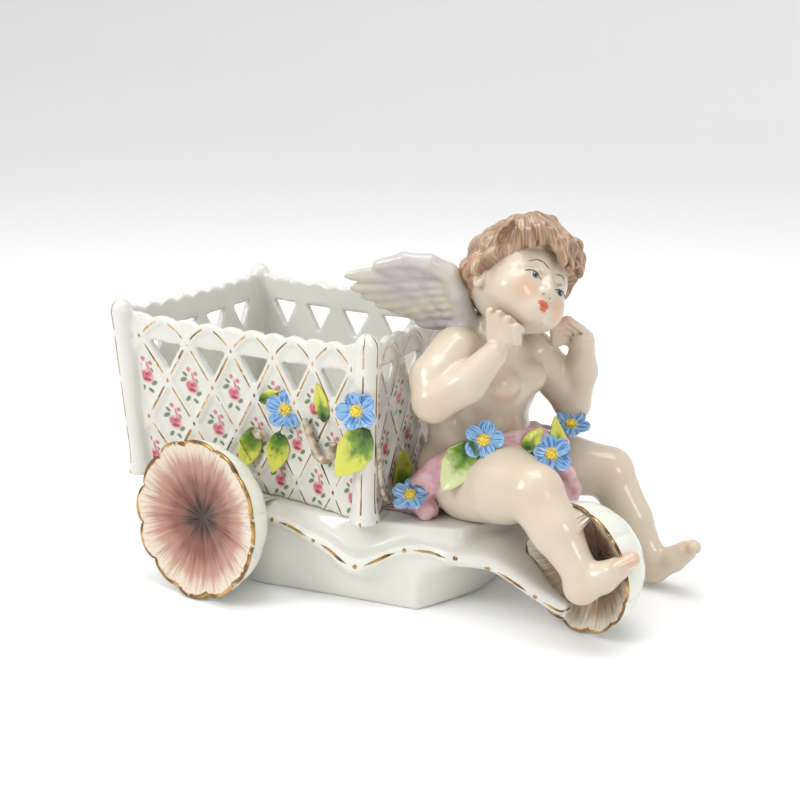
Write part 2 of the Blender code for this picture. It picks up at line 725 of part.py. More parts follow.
def add_drape(bm):
    """A twisted cloth round the hips that is gathered between the thighs."""
    cloth = [(-10, -22, 4), (-7, -26, 12), (0, -27, 20), (9, -26, 27), (19, -22, 31), (27, -13, 31),
             (33, -3, 29), (34, 8, 26), (27, 18, 25), (16, 25, 24), (2, 26, 19), (-8, 23, 10)]
    limb(bm, [spot(*place) for place in cloth],
         [5.0, 5.6, 5.2, 4.6, 4.6, 5.4, 6.4, 5.6, 4.6, 4.4, 4.6, 4.6])
    fold = [(30, -8, 27), (38, -4, 24), (41, 0, 17), (42, 3, 10), (41, 5, 4)]
    limb(bm, [spot(*place) for place in fold], [6.0, 6.2, 5.6, 5.0, 4.2])
    knot = [(-12, -25, 0), (-8, -28, 6), (-3, -29, 2)]
    limb(bm, [spot(*place) for place in knot], [4.2, 5.0, 4.0])


def make_cherub(material):
    bm = bmesh.new()
    add_torso(bm)
    add_arms(bm)
    add_legs(bm)
    add_head(bm)
    add_hair(bm)
    add_drape(bm)
    for side in (NEAR, FAR):
        add_wing(bm, side)
    cherub = object_from_bmesh("cherub", bm, material)
    remesh = cherub.modifiers.new("Skin", "REMESH")
    remesh.mode = "VOXEL"
    remesh.voxel_size = VOXEL
    smooth = cherub.modifiers.new("Soften", "SMOOTH")
    smooth.factor = 0.5
    smooth.iterations = 4
    bake(cherub)
    keep_largest_shell(cherub)
    thin = cherub.modifiers.new("Thin", "DECIMATE")
    thin.ratio = FIGURE_FACES / (2 * len(cherub.data.polygons))
    bake(cherub)
    return cherub


# Applied flowers, leaves and twigs

def press_on(carriers, target, direction):
    """Where a ray from outside meets the carriers, and the way the surface faces there."""
    origin = target - direction * 0.08
    best = None
    for carrier in carriers:
        bm = bmesh.new()
        bm.from_mesh(carrier.data)
        tree = BVHTree.FromBMesh(bm)
        bm.free()
        place, normal, _, distance = tree.ray_cast(origin, direction)
        if place is not None and (best is None or distance < best[2]):
            best = (place, normal, distance)
    if best is None:
        return target, -direction
    return best[0], best[1]


def facing_frame(normal, spin):
    turn = normal.to_track_quat("Z", "Y").to_matrix()
    return turn @ Matrix.Rotation(math.radians(spin), 3, "Z")


def make_flower(name, material, place, normal, spin):
    """Five rounded petals round a raised eye, with a pad behind that beds on the carrier."""
    petals, steps = 5, 3
    segments = petals * steps
    stages = ((0.55, -0.9), (1.0, 0.0), (0.92, 0.55), (0.30, 0.5), (0.16, 1.0))
    rings = []
    for share, height in stages:
        ring = []
        for step in range(segments):
            angle = 2 * math.pi * step / segments
            notch = abs(math.sin(petals * angle / 2)) ** 0.5
            reach = FLOWER_WIDTH / 2 * share * (1 - 0.30 * (1 - notch) * min(1.0, share * 1.4))
            ring.append(Vector((reach * math.cos(angle), reach * math.sin(angle), height * FLOWER_DEPTH)))
        rings.append(ring)
    turn = facing_frame(normal, spin)
    bm = bmesh.new()
    loft(bm, [[place + turn @ point for point in ring] for ring in rings])
    return object_from_bmesh(name, bm, material)


def make_leaf(name, material, place, normal, spin, length, width):
    """A pointed leaf, raised along its midrib and curled back at the tip."""
    stations = 6
    turn = facing_frame(normal, spin)
    bm = bmesh.new()
    rings = []
    for station in range(stations):
        share = station / (stations - 1)
        half = max(0.06, math.sin(math.pi * share ** 0.8) ** 0.8) * width / 2
        along = (share - 0.5) * length
        curl = 0.16 * length * (share - 0.4) ** 2
        thick = LEAF_THICKNESS * (0.45 + 0.55 * math.sin(math.pi * min(1.0, share + 0.1)))
        ring = [Vector((along, -half, curl)), Vector((along, 0.0, curl - thick)),
                Vector((along, half, curl)), Vector((along, 0.45 * half, curl + 0.35 * thick)),
                Vector((along, 0.0, curl + 0.75 * thick)), Vector((along, -0.45 * half, curl + 0.35 * thick))]
        rings.append([place + turn @ point for point in ring])
    loft(bm, rings)
    return object_from_bmesh(name, bm, material)


def make_twig(name, material, points, radius):
    """A thin rolled coil of clay along a smooth path."""
    curve = bpy.data.curves.new(name, "CURVE")
    curve.dimensions = "3D"
    curve.bevel_depth = radius
    curve.bevel_resolution = 1
    curve.use_fill_caps = True
    spline = curve.splines.new("POLY")
    path = smooth_path(points, 3)
    spline.points.add(len(path) - 1)
    for point, place in zip(spline.points, path):
        point.co = (*place, 1)
    item = bpy.data.objects.new(name, curve)
    bpy.context.scene.collection.objects.link(item)
    bpy.context.view_layer.update()
    graph = bpy.context.evaluated_depsgraph_get()
    mesh = bpy.data.meshes.new_from_object(item.evaluated_get(graph))
    bpy.data.objects.remove(item, do_unlink=True)
    twig = add_object(name, mesh, material)
    keep_largest_shell(twig)
    return twig


def smooth_path(points, steps):
    padded = [2 * points[0] - points[1]] + list(points) + [2 * points[-1] - points[-2]]
    result = []
    for before, start, end, after in zip(padded, padded[1:], padded[2:], padded[3:]):
        for step in range(steps):
            t = step / steps
            bend = (2 * before - 5 * start + 4 * end - after) * t * t
            twist = (3 * start - before - 3 * end + after) * t ** 3
            result.append(0.5 * (2 * start + (end - before) * t + bend + twist))
    result.append(points[-1])
    return result


# Flowers are pressed on from the front right, the side that the group is seen from.
PRESS = Vector((-0.494, 0.822, -0.284))


def on_wall(side, along, drop, out=0.0):
    """A place on a wall by its share of the way along and of the way down from the rim."""
    return wall_point(side, along, BASKET_RIM - drop * BASKET_HEIGHT, 0.0, out)


def make_trim(base, basket, cherub, wheels):
    blue = porcelain("forget-me-not blue", BLUE)
    green = porcelain("leaf green", LEAF_GREEN)
    brown = porcelain("twig brown", TWIG_BROWN)
    right, front = 0, 1
    carriers = [base, basket, cherub]
    flowers = []
    blooms = (
        ("forget_me_not_basket_side", on_wall(right, 0.650, 0.422), 0.3, 10, 0),
        ("forget_me_not_basket_post", on_wall(right, 0.955, 0.354), 0.6, 40, 0),
        ("forget_me_not_base", spot(-6, -38, 10), 0.3, 20, 1.0),
        ("forget_me_not_hip", spot(18, -24, 34), 1.0, 5, 0),
        ("forget_me_not_lap", spot(40, -10, 28), 0.6, 30, 0.2),
        ("forget_me_not_far_hip", spot(36, 18, 31), 0.3, 50, 1.6))
    for name, target, lift, spin, lean in blooms:
        place, normal = press_on(carriers, target, PRESS)
        normal = (normal * 0.3 - PRESS * 0.7 + Vector((0, 0, lean))).normalized()
        flowers.append(make_flower(name, blue, place + normal * lift * FLOWER_DEPTH, normal, spin))
    for flower in flowers:
        fit_against(flower, carriers + wheels)
    leaves = (
        ("leaf_basket_bud", on_wall(right, 0.592, 0.361), 25, 0.44, 0.40, 0.7),
        ("leaf_basket_slim", on_wall(right, 0.806, 0.340), 100, 0.64, 0.41, 0.7),
        ("leaf_basket_low_rear", on_wall(right, 0.494, 0.707), 255, 0.76, 0.70, 0.7),
        ("leaf_basket_low_front", on_wall(right, 0.613, 0.694), 262, 0.72, 0.70, 0.7),
        ("leaf_basket_broad", on_wall(right, 0.945, 0.592), 235, 1.0, 1.0, 0.7),
        ("leaf_basket_corner", on_wall(front, 0.340, 0.830), 80, 0.80, 0.73, 0.7),
        ("leaf_hip", spot(9, -26, 23), 245, 0.92, 0.93, 1.2),
        ("leaf_lap_far", spot(38, 0, 32), 75, 0.68, 0.53, 0.3),
        ("leaf_lap_near", spot(33, -12, 33), 40, 0.52, 0.47, 0.3))
    placed = list(flowers)
    for name, target, spin, length_share, width_share, lift in leaves:
        place, normal = press_on(carriers, target, PRESS)
        normal = (normal * 0.6 - PRESS * 0.4).normalized()
        leaf = make_leaf(name, green, place + normal * lift * LEAF_THICKNESS, normal, spin,
                         length_share * LEAF_LENGTH, width_share * LEAF_WIDTH)
        fit_against(leaf, carriers + wheels + placed)
        placed.append(leaf)
    stand = TWIG_RADIUS + TWIG_STANDOFF
    loop = ((0.735, 0.456), (0.765, 0.558), (0.785, 0.646), (0.820, 0.673), (0.850, 0.633), (0.860, 0.558))
    corner = ((0.03, 0.544), (0.05, 0.680), (0.075, 0.789), (0.11, 0.871), (0.17, 0.932))
    stub = ((0.525, 0.578), (0.545, 0.605), (0.560, 0.585))
    for name, side, path, girth, out in (
            ("twig_basket_loop", right, loop, 1.5, stand),
            ("twig_basket_corner", front, corner, 1.0, stand + 0.2 * POST_RADIUS),
            ("twig_basket_stub", right, stub, 1.7, stand)):
        points = [on_wall(side, along, drop, out) for along, drop in path]
        radius = girth * TWIG_RADIUS
        twig = make_twig(name, brown, points, radius)
        fit_against(twig, carriers + wheels + placed)
        placed.append(twig)
    return placed


def shade(item):
    item.data.shade_smooth()
    item.data.set_sharp_from_angle(angle=math.radians(40))


def centre_group(pieces):
    """Stand the group over the origin, by the middle of its plan."""
    corners = [vertex.co for item in pieces for vertex in item.data.vertices]
    middle_x = (min(p.x for p in corners) + max(p.x for p in corners)) / 2
    middle_y = (min(p.y for p in corners) + max(p.y for p in corners)) / 2
    move = Matrix.Translation((-middle_x, -middle_y, 0))
    for item in pieces:
        item.data.transform(move)
    print("moved by", round(-middle_x, 6), round(-middle_y, 6))


def main():
    clear_scene()
    glaze = porcelain("white glaze", GLAZE)
    flesh = porcelain("painted flesh", FLESH)
    mauve = porcelain("mauve flower", MAUVE)
    base = make_base(glaze)
    basket = make_basket(glaze)
    wheel_y = BASE_WIDTH / 2 + REAR_WHEEL_OUT
    dome = REAR_WHEEL_OUT + ROLL_THICKNESS
    wheels = []
    for name, side in (("rear_wheel_right", NEAR), ("rear_wheel_left", FAR)):
        facing = Vector((-0.087, side * 0.989, 0.12)).normalized()
        wheels.append(make_wheel(name, mauve, REAR_WHEEL_RADIUS, dome, REAR_WHEEL_CUP, 1.35, facing,
                                 BASKET_CENTRE - REAR_AXLE_SHIFT, side * wheel_y))
    facing = Vector((-0.325, -0.943, -0.05)).normalized()
    wheels.append(make_wheel("front_wheel", mauve, FRONT_WHEEL_RADIUS, FRONT_WHEEL_DOME, FRONT_WHEEL_CUP,
                             1.0, facing, BASE_FRONT + 0.88 * TONGUE_LENGTH, -0.51 * BASE_WIDTH / 2))
    for wheel in wheels:
        fit_against(wheel, [base, basket])
    cherub = make_cherub(flesh)
    fit_against(cherub, [base, basket] + wheels)
    trim = make_trim(base, basket, cherub, wheels)
    pieces = [base, basket, cherub] + wheels + trim
    centre_group(pieces)
    for item in pieces:
        shade(item)
        print(item.name, sum(len(face.vertices) - 2 for face in item.data.polygons), "triangles")


main()
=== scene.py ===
# %% [markdown]
# # A porcelain cherub on a flower cart
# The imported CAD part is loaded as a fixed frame. Each of its pieces is then modelled again, finer,
# in the same place, and painted the way a factory painter would: glaze first, then colour, then gold.

# %% Tools and scene
import json
import math

import bmesh
import bpy
import numpy as np
from mathutils import Matrix, Vector
from mathutils.bvhtree import BVHTree

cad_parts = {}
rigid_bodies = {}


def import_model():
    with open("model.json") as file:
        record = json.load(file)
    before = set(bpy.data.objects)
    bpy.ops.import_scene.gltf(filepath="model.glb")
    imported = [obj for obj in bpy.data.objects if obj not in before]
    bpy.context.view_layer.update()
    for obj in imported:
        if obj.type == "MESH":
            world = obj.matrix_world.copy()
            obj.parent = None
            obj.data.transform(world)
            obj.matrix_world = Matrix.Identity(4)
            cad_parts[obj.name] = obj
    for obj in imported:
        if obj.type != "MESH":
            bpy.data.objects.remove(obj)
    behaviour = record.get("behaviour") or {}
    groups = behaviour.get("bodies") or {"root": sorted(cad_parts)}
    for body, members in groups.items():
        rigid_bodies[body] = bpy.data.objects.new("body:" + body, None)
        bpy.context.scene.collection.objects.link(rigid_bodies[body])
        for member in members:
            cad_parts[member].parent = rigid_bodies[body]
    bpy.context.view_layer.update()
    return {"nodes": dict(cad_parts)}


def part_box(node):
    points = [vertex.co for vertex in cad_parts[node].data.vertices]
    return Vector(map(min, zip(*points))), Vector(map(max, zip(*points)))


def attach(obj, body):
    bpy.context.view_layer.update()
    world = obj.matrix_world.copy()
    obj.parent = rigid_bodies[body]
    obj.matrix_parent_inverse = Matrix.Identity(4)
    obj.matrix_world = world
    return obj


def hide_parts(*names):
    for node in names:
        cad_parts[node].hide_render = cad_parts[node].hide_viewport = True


for item in list(bpy.data.objects):
    bpy.data.objects.remove(item, do_unlink=True)

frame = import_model()
nodes = frame["nodes"]
print("the frame has", len(nodes), "pieces")

# %% [markdown]
# ## Where things are
# The shapes below use millimetres, in the frame in which the cart was drawn. The basket's box gives
# the shift to the row frame, so nothing is typed in twice.

# %% Places
MM = 0.001
BASKET_CENTRE = -47.0
BASKET_LENGTH, BASKET_WIDTH, BASKET_HEIGHT = 130.0, 102.0, 73.5
BASKET_FLOOR, BASKET_WALL, BASKET_TAPER = 33.8, 4.0, 4.0
BASKET_RIM = BASKET_FLOOR + BASKET_HEIGHT
PLATFORM_HEIGHT = 33.5
SEAT = np.array((34.0, 0.0, 34.5))

low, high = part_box("basket")
SHIFT = Vector(((low.x + high.x) / 2 - BASKET_CENTRE * MM, 0, 0))
print("the row frame is", round(SHIFT.x * 1000, 2), "mm along from the drawing frame")


def row(point):
    """A place in the drawing frame, in millimetres, as a place in the row frame, in metres."""
    return Vector(point) * MM + SHIFT


# %% [markdown]
# ## Clay on a grid
# A block of clay is a grid of distances: below zero inside the clay, above zero in the air.
# Balls and bars are added one by one, and a soft union smears the joint as a thumb does.

# %% The clay block
FAR_AWAY = 9.0


class Clay:
    def __init__(self, low, high, step):
        self.low, self.step = np.array(low, float), step
        count = np.ceil((np.array(high) - self.low) / step).astype(int) + 1
        self.field = np.full(count, FAR_AWAY, np.float32)
        self.axes = [self.low[axis] + step * np.arange(count[axis]) for axis in range(3)]

    def window(self, low, high):
        cut = []
        for axis in range(3):
            first = int((low[axis] - self.low[axis]) / self.step)
            last = int((high[axis] - self.low[axis]) / self.step) + 2
            cut.append(slice(max(0, first), max(0, last)))
        grid = np.meshgrid(*[line[part] for line, part in zip(self.axes, cut)], indexing="ij")
        return tuple(cut), np.stack(grid, -1)

    def blend(self, cut, distance, soft):
        old = self.field[cut]
        overlap = np.maximum(soft - np.abs(old - distance), 0) / soft
        self.field[cut] = np.minimum(old, distance) - overlap ** 2 * soft / 4

    def carve(self, cut, distance, soft):
        old = self.field[cut]
        overlap = np.maximum(soft - np.abs(old + distance), 0) / soft
        self.field[cut] = np.maximum(old, -distance) + overlap ** 2 * soft / 4


# %% [markdown]
# A ball is an ellipsoid, turned if need be; a bar is a chain of tapering round rods.

# %% Balls and bars


def oval_distance(points, centre, radii, turn=None):
    offset = points - np.array(centre)
    if turn is not None:
        offset = offset @ np.array(turn)
    radii = np.array(radii)
    near = np.linalg.norm(offset / radii, axis=-1)
    slope = np.linalg.norm(offset / radii ** 2, axis=-1)
    return near * (near - 1) / np.maximum(slope, 1e-6)


def bar_distance(points, start, end, low, high):
    start, along = np.array(start, float), np.array(end, float) - np.array(start, float)
    share = np.clip((points - start) @ along / max(along @ along, 1e-9), 0, 1)
    reach = np.linalg.norm(points - start - share[..., None] * along, axis=-1)
    return reach - (low + (high - low) * share)


def ball(clay, centre, radii, turn=None, soft=2.0, cut_away=False):
    margin = max(radii) + 2 * soft
    cut, points = clay.window(np.array(centre) - margin, np.array(centre) + margin)
    act = clay.carve if cut_away else clay.blend
    act(cut, oval_distance(points, centre, radii, turn), soft)


def bar(clay, places, radii, soft=2.0, cut_away=False):
    """Adds a chain of rods to the clay, or cuts it away as a groove."""
    for start, end, low, high in zip(places, places[1:], radii, radii[1:]):
        margin = max(low, high) + 2 * soft
        lowest = np.minimum(start, end) - margin
        highest = np.maximum(start, end) + margin
        cut, points = clay.window(lowest, highest)
        act = clay.carve if cut_away else clay.blend
        act(cut, bar_distance(points, start, end, low, high), soft)


# %% [markdown]
# The skin of the clay is found cell by cell: one vertex in each cell the surface passes through,
# and one face across each grid edge that leads from clay to air.

# %% From clay to mesh
CORNERS = np.array([(i, j, k) for i in (0, 1) for j in (0, 1) for k in (0, 1)])


def clay_surface(clay):
    inside = clay.field < 0
    count = np.array(clay.field.shape) - 1
    filled = np.zeros(count, np.int8)
    for i, j, k in CORNERS:
        filled += inside[i:i + count[0], j:j + count[1], k:k + count[2]]
    mixed = (filled > 0) & (filled < 8)
    cells = np.argwhere(mixed)
    index = np.full(count, -1)
    index[mixed] = np.arange(len(cells))
    values = [clay.field[tuple((cells + corner).T)] for corner in CORNERS]
    total, crossings = np.zeros((len(cells), 3)), np.zeros(len(cells))
    for a in range(8):
        for b in range(a + 1, 8):
            if abs(CORNERS[a] - CORNERS[b]).sum() != 1:
                continue
            crossed = (values[a] < 0) != (values[b] < 0)
            share = np.where(crossed, values[a] / (values[a] - values[b] + 1e-12), 0)
            place = CORNERS[a] + share[:, None] * (CORNERS[b] - CORNERS[a])
            total += np.where(crossed[:, None], place, 0)
            crossings += crossed
    points = clay.low + clay.step * (cells + total / crossings[:, None])
    quads = []
    for axis, right, up in ((0, 1, 2), (1, 2, 0), (2, 0, 1)):
        first = np.take(inside, range(count[axis]), axis)
        second = np.take(inside, range(1, count[axis] + 1), axis)
        edges = np.argwhere(first != second)
        edges = edges[(edges[:, right] > 0) & (edges[:, up] > 0)]
        edges = edges[(edges[:, right] < count[right]) & (edges[:, up] < count[up])]
        step_right, step_up = np.eye(3, dtype=int)[right], np.eye(3, dtype=int)[up]
        ring = [edges, edges - step_right, edges - step_right - step_up, edges - step_up]
        quad = np.stack([index[tuple(cell.T)] for cell in ring], 1)
        outward = first[tuple(edges.T)]
        quads.append(np.where(outward[:, None], quad, quad[:, ::-1]))
    return points, np.concatenate(quads)


def sample(clay, field, points):
    """The field's value at each point, from the eight grid corners round it."""
    place = (points - clay.low) / clay.step
    base = np.clip(place.astype(int), 0, np.array(field.shape) - 2)
    share = place - base
    result = np.zeros(len(points))
    for corner in CORNERS:
        weight = np.prod(np.where(corner, share, 1 - share), axis=1)
        result += weight * field[tuple((base + corner).T)]
    return result


def relax(points, quads, rounds, strength=0.5):
    """Each vertex moves towards the middle of its neighbours."""
    pairs = np.concatenate([quads[:, [0, 1]], quads[:, [1, 2]], quads[:, [2, 3]], quads[:, [3, 0]]])
    ends = np.concatenate([pairs, pairs[:, ::-1]])
    degree = np.bincount(ends[:, 0], minlength=len(points))
    for _ in range(rounds):
        middle = np.stack([np.bincount(ends[:, 0], points[ends[:, 1], axis], len(points))
                           for axis in range(3)], 1) / np.maximum(degree, 1)[:, None]
        points = points + strength * (middle - points)
    return points


# %% [markdown]
# ## The cherub's body
# Every place is measured from the middle of the seat. Soft flesh takes a wide union; fingers and
# toes take a narrow one, so they stay apart.

# %% Torso, arms and legs
NEAR, FAR = -1, 1
FLESH_SOFT, JOINT_SOFT, FINGER_SOFT, GROOVE_SOFT = 4.0, 2.0, 0.35, 0.4
CHEST_YAW = -15


def turned(axis, degrees):
    return np.array(Matrix.Rotation(math.radians(degrees), 3, axis))


body_low, body_high = (-43, -47, -36), (94, 52, 108)
flesh = Clay(body_low, body_high, 0.85)
chest = turned("Z", CHEST_YAW)
ball(flesh, (0, 0, 14), (21, 25, 17), soft=FLESH_SOFT)
ball(flesh, (4, -1, 31), (20, 21.5, 18), chest, FLESH_SOFT)
ball(flesh, (9, 0, 50), (16.5, 21, 18), chest, FLESH_SOFT)
ball(flesh, (8, -12, 60), (11, 12, 11), chest, FLESH_SOFT)
ball(flesh, (13, 11, 57), (11, 11, 10), chest, FLESH_SOFT)
bar(flesh, [(11, -1, 66), (15, -1, 80)], [10, 8.5], FLESH_SOFT)
for side in (NEAR, FAR):
    pap = np.array((9, 0, 50)) + chest @ (14.0, side * 8.5, 3.5)
    ball(flesh, pap, (4.5, 6.5, 5.5), chest, FLESH_SOFT)

arms = (
    ([(3, -19, 66), (0, -31, 58), (3, -37, 51)], [10.5, 9.5, 8.0]),
    ([(3, -37, 51), (14, -31, 58), (22, -25, 69)], [8.0, 7.4, 5.2]),
    ([(18, 18, 60), (27, 25, 48), (32, 28, 38)], [9.5, 8.6, 7.4]),
    ([(32, 28, 38), (36, 26, 53), (37.5, 23, 66)], [7.4, 6.8, 4.8]))
legs = (
    ([(8, -14, 12), (28, -24, 18), (43, -31.5, 20)], [16, 15.0, 11.5]),
    ([(43, -31.5, 20), (54, -35, 9), (65, -37.5, -4)], [11.0, 9.6, 6.4]),
    ([(65, -37.5, -4), (66.5, -38, -10)], [6.4, 6.4]),
    ([(66.5, -38, -10), (74, -37, -5), (79, -36, -1)], [6.4, 5.6, 4.6]),
    ([(12, 14, 11), (32, 25, 12), (48, 31.5, 10)], [14.5, 12.5, 10.5]),
    ([(48, 31.5, 10), (60, 30, -8), (69, 28.5, -21)], [10.0, 8.2, 5.6]),
    ([(69, 28.5, -21), (71, 28.5, -27)], [5.8, 5.8]),
    ([(71, 28.5, -27), (79, 28, -21), (84, 28, -16.5)], [5.8, 5.0, 4.4]))
for places, radii in arms + legs:
    bar(flesh, places, radii, JOINT_SOFT)
print("the body's clay fills", round(float((flesh.field < 0).sum()) * flesh.step ** 3 / 1000), "cm3")

# %% [markdown]
# Hands and feet follow: a palm with four curled fingers, and five toes in a row.

# %% Hands and feet
ball(flesh, (25, -21.5, 77), (6.6, 4.6, 6.4), soft=JOINT_SOFT)
ball(flesh, (37.5, 21.5, 67), (4.8, 5.0, 5.0), soft=JOINT_SOFT)
for finger in range(4):
    along, drop = 3.5 * finger, 2.7 * finger
    top = 85.4 - 0.5 * finger ** 2
    near_hand = [(20.4 + along, -24.0, 75.0), (20.4 + along, -25.4, top), (20.8 + along, -21, top - 2)]
    far_hand = [(38 - 0.3 * drop, 20.5 + 0.4 * drop, 71 - drop),
                (33.5 - 0.2 * drop, 16.5 + 0.4 * drop, 75.3 - drop),
                (28.5 - 0.1 * drop, 14.5 + 0.4 * drop, 73 - drop)]
    bar(flesh, near_hand, [2.0, 1.95, 1.7], FINGER_SOFT)
    bar(flesh, far_hand, [2.3, 2.2, 1.9], FINGER_SOFT)
for gap in range(3):
    along, drop = 3.5 * (gap + 0.5), 2.7 * (gap + 0.5)
    top = 85.4 - 0.5 * (gap + 0.5) ** 2
    near_gap = [(20.2 + along, -27.3, 78.0), (20.4 + along, -26.9, top), (20.8 + along, -22, top + 1.2)]
    far_gap = [(39 - 0.3 * drop, 18.8 + 0.4 * drop, 71 - drop),
               (34.5 - 0.2 * drop, 14.8 + 0.4 * drop, 75.3 - drop),
               (29.3 - 0.1 * drop, 12.6 + 0.4 * drop, 73 - drop)]
    bar(flesh, near_gap, [0.6, 0.8, 0.8], GROOVE_SOFT, True)
    bar(flesh, far_gap, [0.7, 0.8, 0.7], GROOVE_SOFT, True)
for toe in range(5):
    side, radius = toe / 4, 3.0 - 0.25 * toe
    ball(flesh, (83.5 - 3.5 * side, -33 - 6.5 * side, 3.0 - 1.5 * side), [radius] * 3, soft=FINGER_SOFT)
    ball(flesh, (88.0 - 3.0 * side, 25.5 + 7.0 * side, -13.0 - 1.5 * side), [radius] * 3,
         soft=FINGER_SOFT)

# %% [markdown]
# The wings are feathers laid in rows over an arm. The far wing is the near one, mirrored across
# the chest.

# %% Wings
wings = Clay(body_low, body_high, 0.85)
plumes = []
WING_HINGE = np.array((2.0, 0.0))
FEATHERS = (
    ((-2, -15, 96), (-38.5, -30.5, 94), 4.4), ((-2, -14, 93), (-37.5, -28, 89), 4.6),
    ((-2, -13, 90), (-34.5, -25.5, 85.5), 4.6), ((-2, -12, 87), (-30, -22.5, 82), 4.4),
    ((-1, -11, 84), (-25.5, -20, 80), 4.2), ((-1, -10, 80), (-21.5, -17.5, 78.5), 4.0),
    ((-1, -9, 76), (-17.5, -14.5, 75.0), 4.0), ((-4, -17, 97), (-27, -27.5, 97.5), 5.0),
    ((-3, -17, 97), (-20, -25, 100), 5.0))
WING_ARM = ((1, -8, 76), (0, -13, 88), (-2, -17, 96.5), (-8, -21.5, 100.5), (-17, -25.5, 101.5),
            (-27, -28, 99))


def winged(point, side):
    if side == NEAR:
        return np.array(point, float)
    facing = turned("Z", CHEST_YAW)[:2, :2]
    local = facing.T @ (np.array(point[:2]) - WING_HINGE)
    local[1] = -local[1]
    return np.array((*(facing @ local + WING_HINGE), point[2]))


def feather(root, tip, width, thick, across):
    along = (tip - root) / np.linalg.norm(tip - root)
    normal = np.cross(along, across)
    normal /= np.linalg.norm(normal)
    turn = np.stack((along, np.cross(normal, along), normal), 1)
    half = np.linalg.norm(tip - root) / 2
    plume = (root + (tip - root) * 0.53, (half * 1.08, width, thick), turn)
    plumes.append(plume)
    ball(wings, *plume, 0.25)


for side in (NEAR, FAR):
    across = winged((-2, -15, 96), side) - winged((-1, -9, 76), side)
    for row_share, thick in ((1.0, 2.3), (0.62, 3.1), (0.36, 3.8)):
        for start, end, width in FEATHERS:
            root, tip = winged(start, side), winged(end, side)
            stagger = (1 - row_share) * 0.18 * across / len(FEATHERS)
            feather(root, root + (tip - root) * row_share + stagger, width * (0.5 + 0.4 * row_share),
                    thick, across)
    bar(wings, [winged(place, side) for place in WING_ARM], [4.6, 4.2, 3.8, 3.4, 2.8, 2.2], 1.5)
    bar(wings, [winged((3, -6, 64), side), winged((1, -8, 76), side)], [6.0, 5.0], 2.0)

# %% [markdown]
# The cloth is a twisted roll round the hips. A wave across its field presses folds into it.

# %% Cloth
cloth = Clay(body_low, body_high, 0.85)
CLOTH_ROLL = ((-10, -22, 4), (-7, -26, 12), (0, -27, 20), (9, -26, 27), (19, -22, 31), (27, -13, 31),
              (33, -3, 29), (34, 8, 26), (27, 18, 25), (16, 25, 24), (2, 26, 19), (-8, 23, 10))


def draped(path, radii, twist):
    """Three soft rolls laid side by side along a path and twisted a little."""
    middle, radii = np.array(path, float), np.array(radii)[:, None]
    along = np.gradient(middle, axis=0)
    along /= np.linalg.norm(along, axis=1, keepdims=True)
    aside = np.cross(along, (0.1, 0.2, 1.0))
    aside /= np.linalg.norm(aside, axis=1, keepdims=True)
    over = np.cross(aside, along)
    for strand in range(3):
        angle = (2 * math.pi * strand / 3 + twist * np.arange(len(middle)))[:, None]
        shifted = middle + 0.50 * radii * (np.cos(angle) * aside + np.sin(angle) * over)
        bar(cloth, shifted, 0.60 * radii[:, 0], 0.5)


draped(CLOTH_ROLL, [5.0, 5.6, 5.2, 4.6, 4.6, 5.4, 6.2, 5.6, 4.6, 4.4, 4.6, 4.6], 0.35)
draped([(30, -8, 27), (38, -4, 24), (41, 0, 17), (42, 3, 10), (41, 5, 4)], [6.0, 6.2, 5.6, 5.0, 4.2], 0.2)
draped([(-12, -25, 0), (-8, -28, 6), (-3, -29, 2)], [4.2, 5.0, 4.0], 0.4)
everywhere, places = cloth.window(body_low, body_high)
fold = np.sin(0.30 * places[..., 0] - 0.42 * places[..., 1] + 0.5 * np.sin(0.5 * places[..., 2]))
cloth.field[everywhere] += 0.30 * fold

whole = Clay(body_low, body_high, 0.85)
whole.field[:] = flesh.field
whole.blend(everywhere, wings.field, 2.5)
whole.blend(everywhere, cloth.field, 0.8)
body_points, body_quads = clay_surface(whole)
print("the body has", len(body_quads), "faces")

# %% [markdown]
# ## The head
# The head is modelled in its own axes, front, left and up from its middle, and turned into place
# at the end. Sockets and the mouth's line are carved; eyeballs, lids and lips are added.

# %% Face
HEAD_CENTRE = np.array((19.8, -1.9, 90.0))
HEAD_TURN = turned("Z", -16.5) @ turned("Y", -24.5) @ turned("X", -40)
head_low, head_high = (-28, -29, -28), (29, 29, 31)
HEAD_STEP = 0.42
face = Clay(head_low, head_high, HEAD_STEP)
ball(face, (0, 0, 3), (19.5, 18.4, 18.5))
ball(face, (4, 0, -7), (14.5, 13.6, 12.0), soft=FLESH_SOFT)
ball(face, (12.6, 0, -14.6), (6.2, 6.4, 5.0), soft=FLESH_SOFT)
bar(face, [(17.6, 0, -1), (20.0, 0, -7.6)], [1.6, 2.1], 2.5)
for side in (NEAR, FAR):
    ball(face, (8.4, side * 7.8, -8.0), (8.3, 8.3, 8.0), soft=FLESH_SOFT)
    ball(face, (21.6, side * 6.9, -2.6), (4.4, 4.6, 2.9), soft=2.0, cut_away=True)
    ball(face, (14.4, side * 6.9, -3.2), (3.9, 4.0, 3.1), soft=0.8)
    bar(face, [(17.9, side * 3.6, -3.4), (18.4, side * 6.3, -1.2), (16.9, side * 10.2, -2.9)],
        [0.4, 0.6, 0.4], 0.8)
    ball(face, (18.3, side * 1.9, -8.9), (1.5, 1.4, 1.3), soft=0.8)
    bar(face, [(17.5, side * 2.7, -13.4), (18.3, side * 0.9, -12.9)], [0.8, 1.2], 0.8)
    ball(face, (-1.0, side * 17.4, -5.0), (3.2, 2.0, 4.8), soft=1.5)
    ball(face, (0.4, side * 19.2, -4.6), (1.8, 1.4, 2.8), soft=0.8, cut_away=True)
ball(face, (17.6, 0, -15.2), (1.4, 2.0, 1.1), soft=0.8)
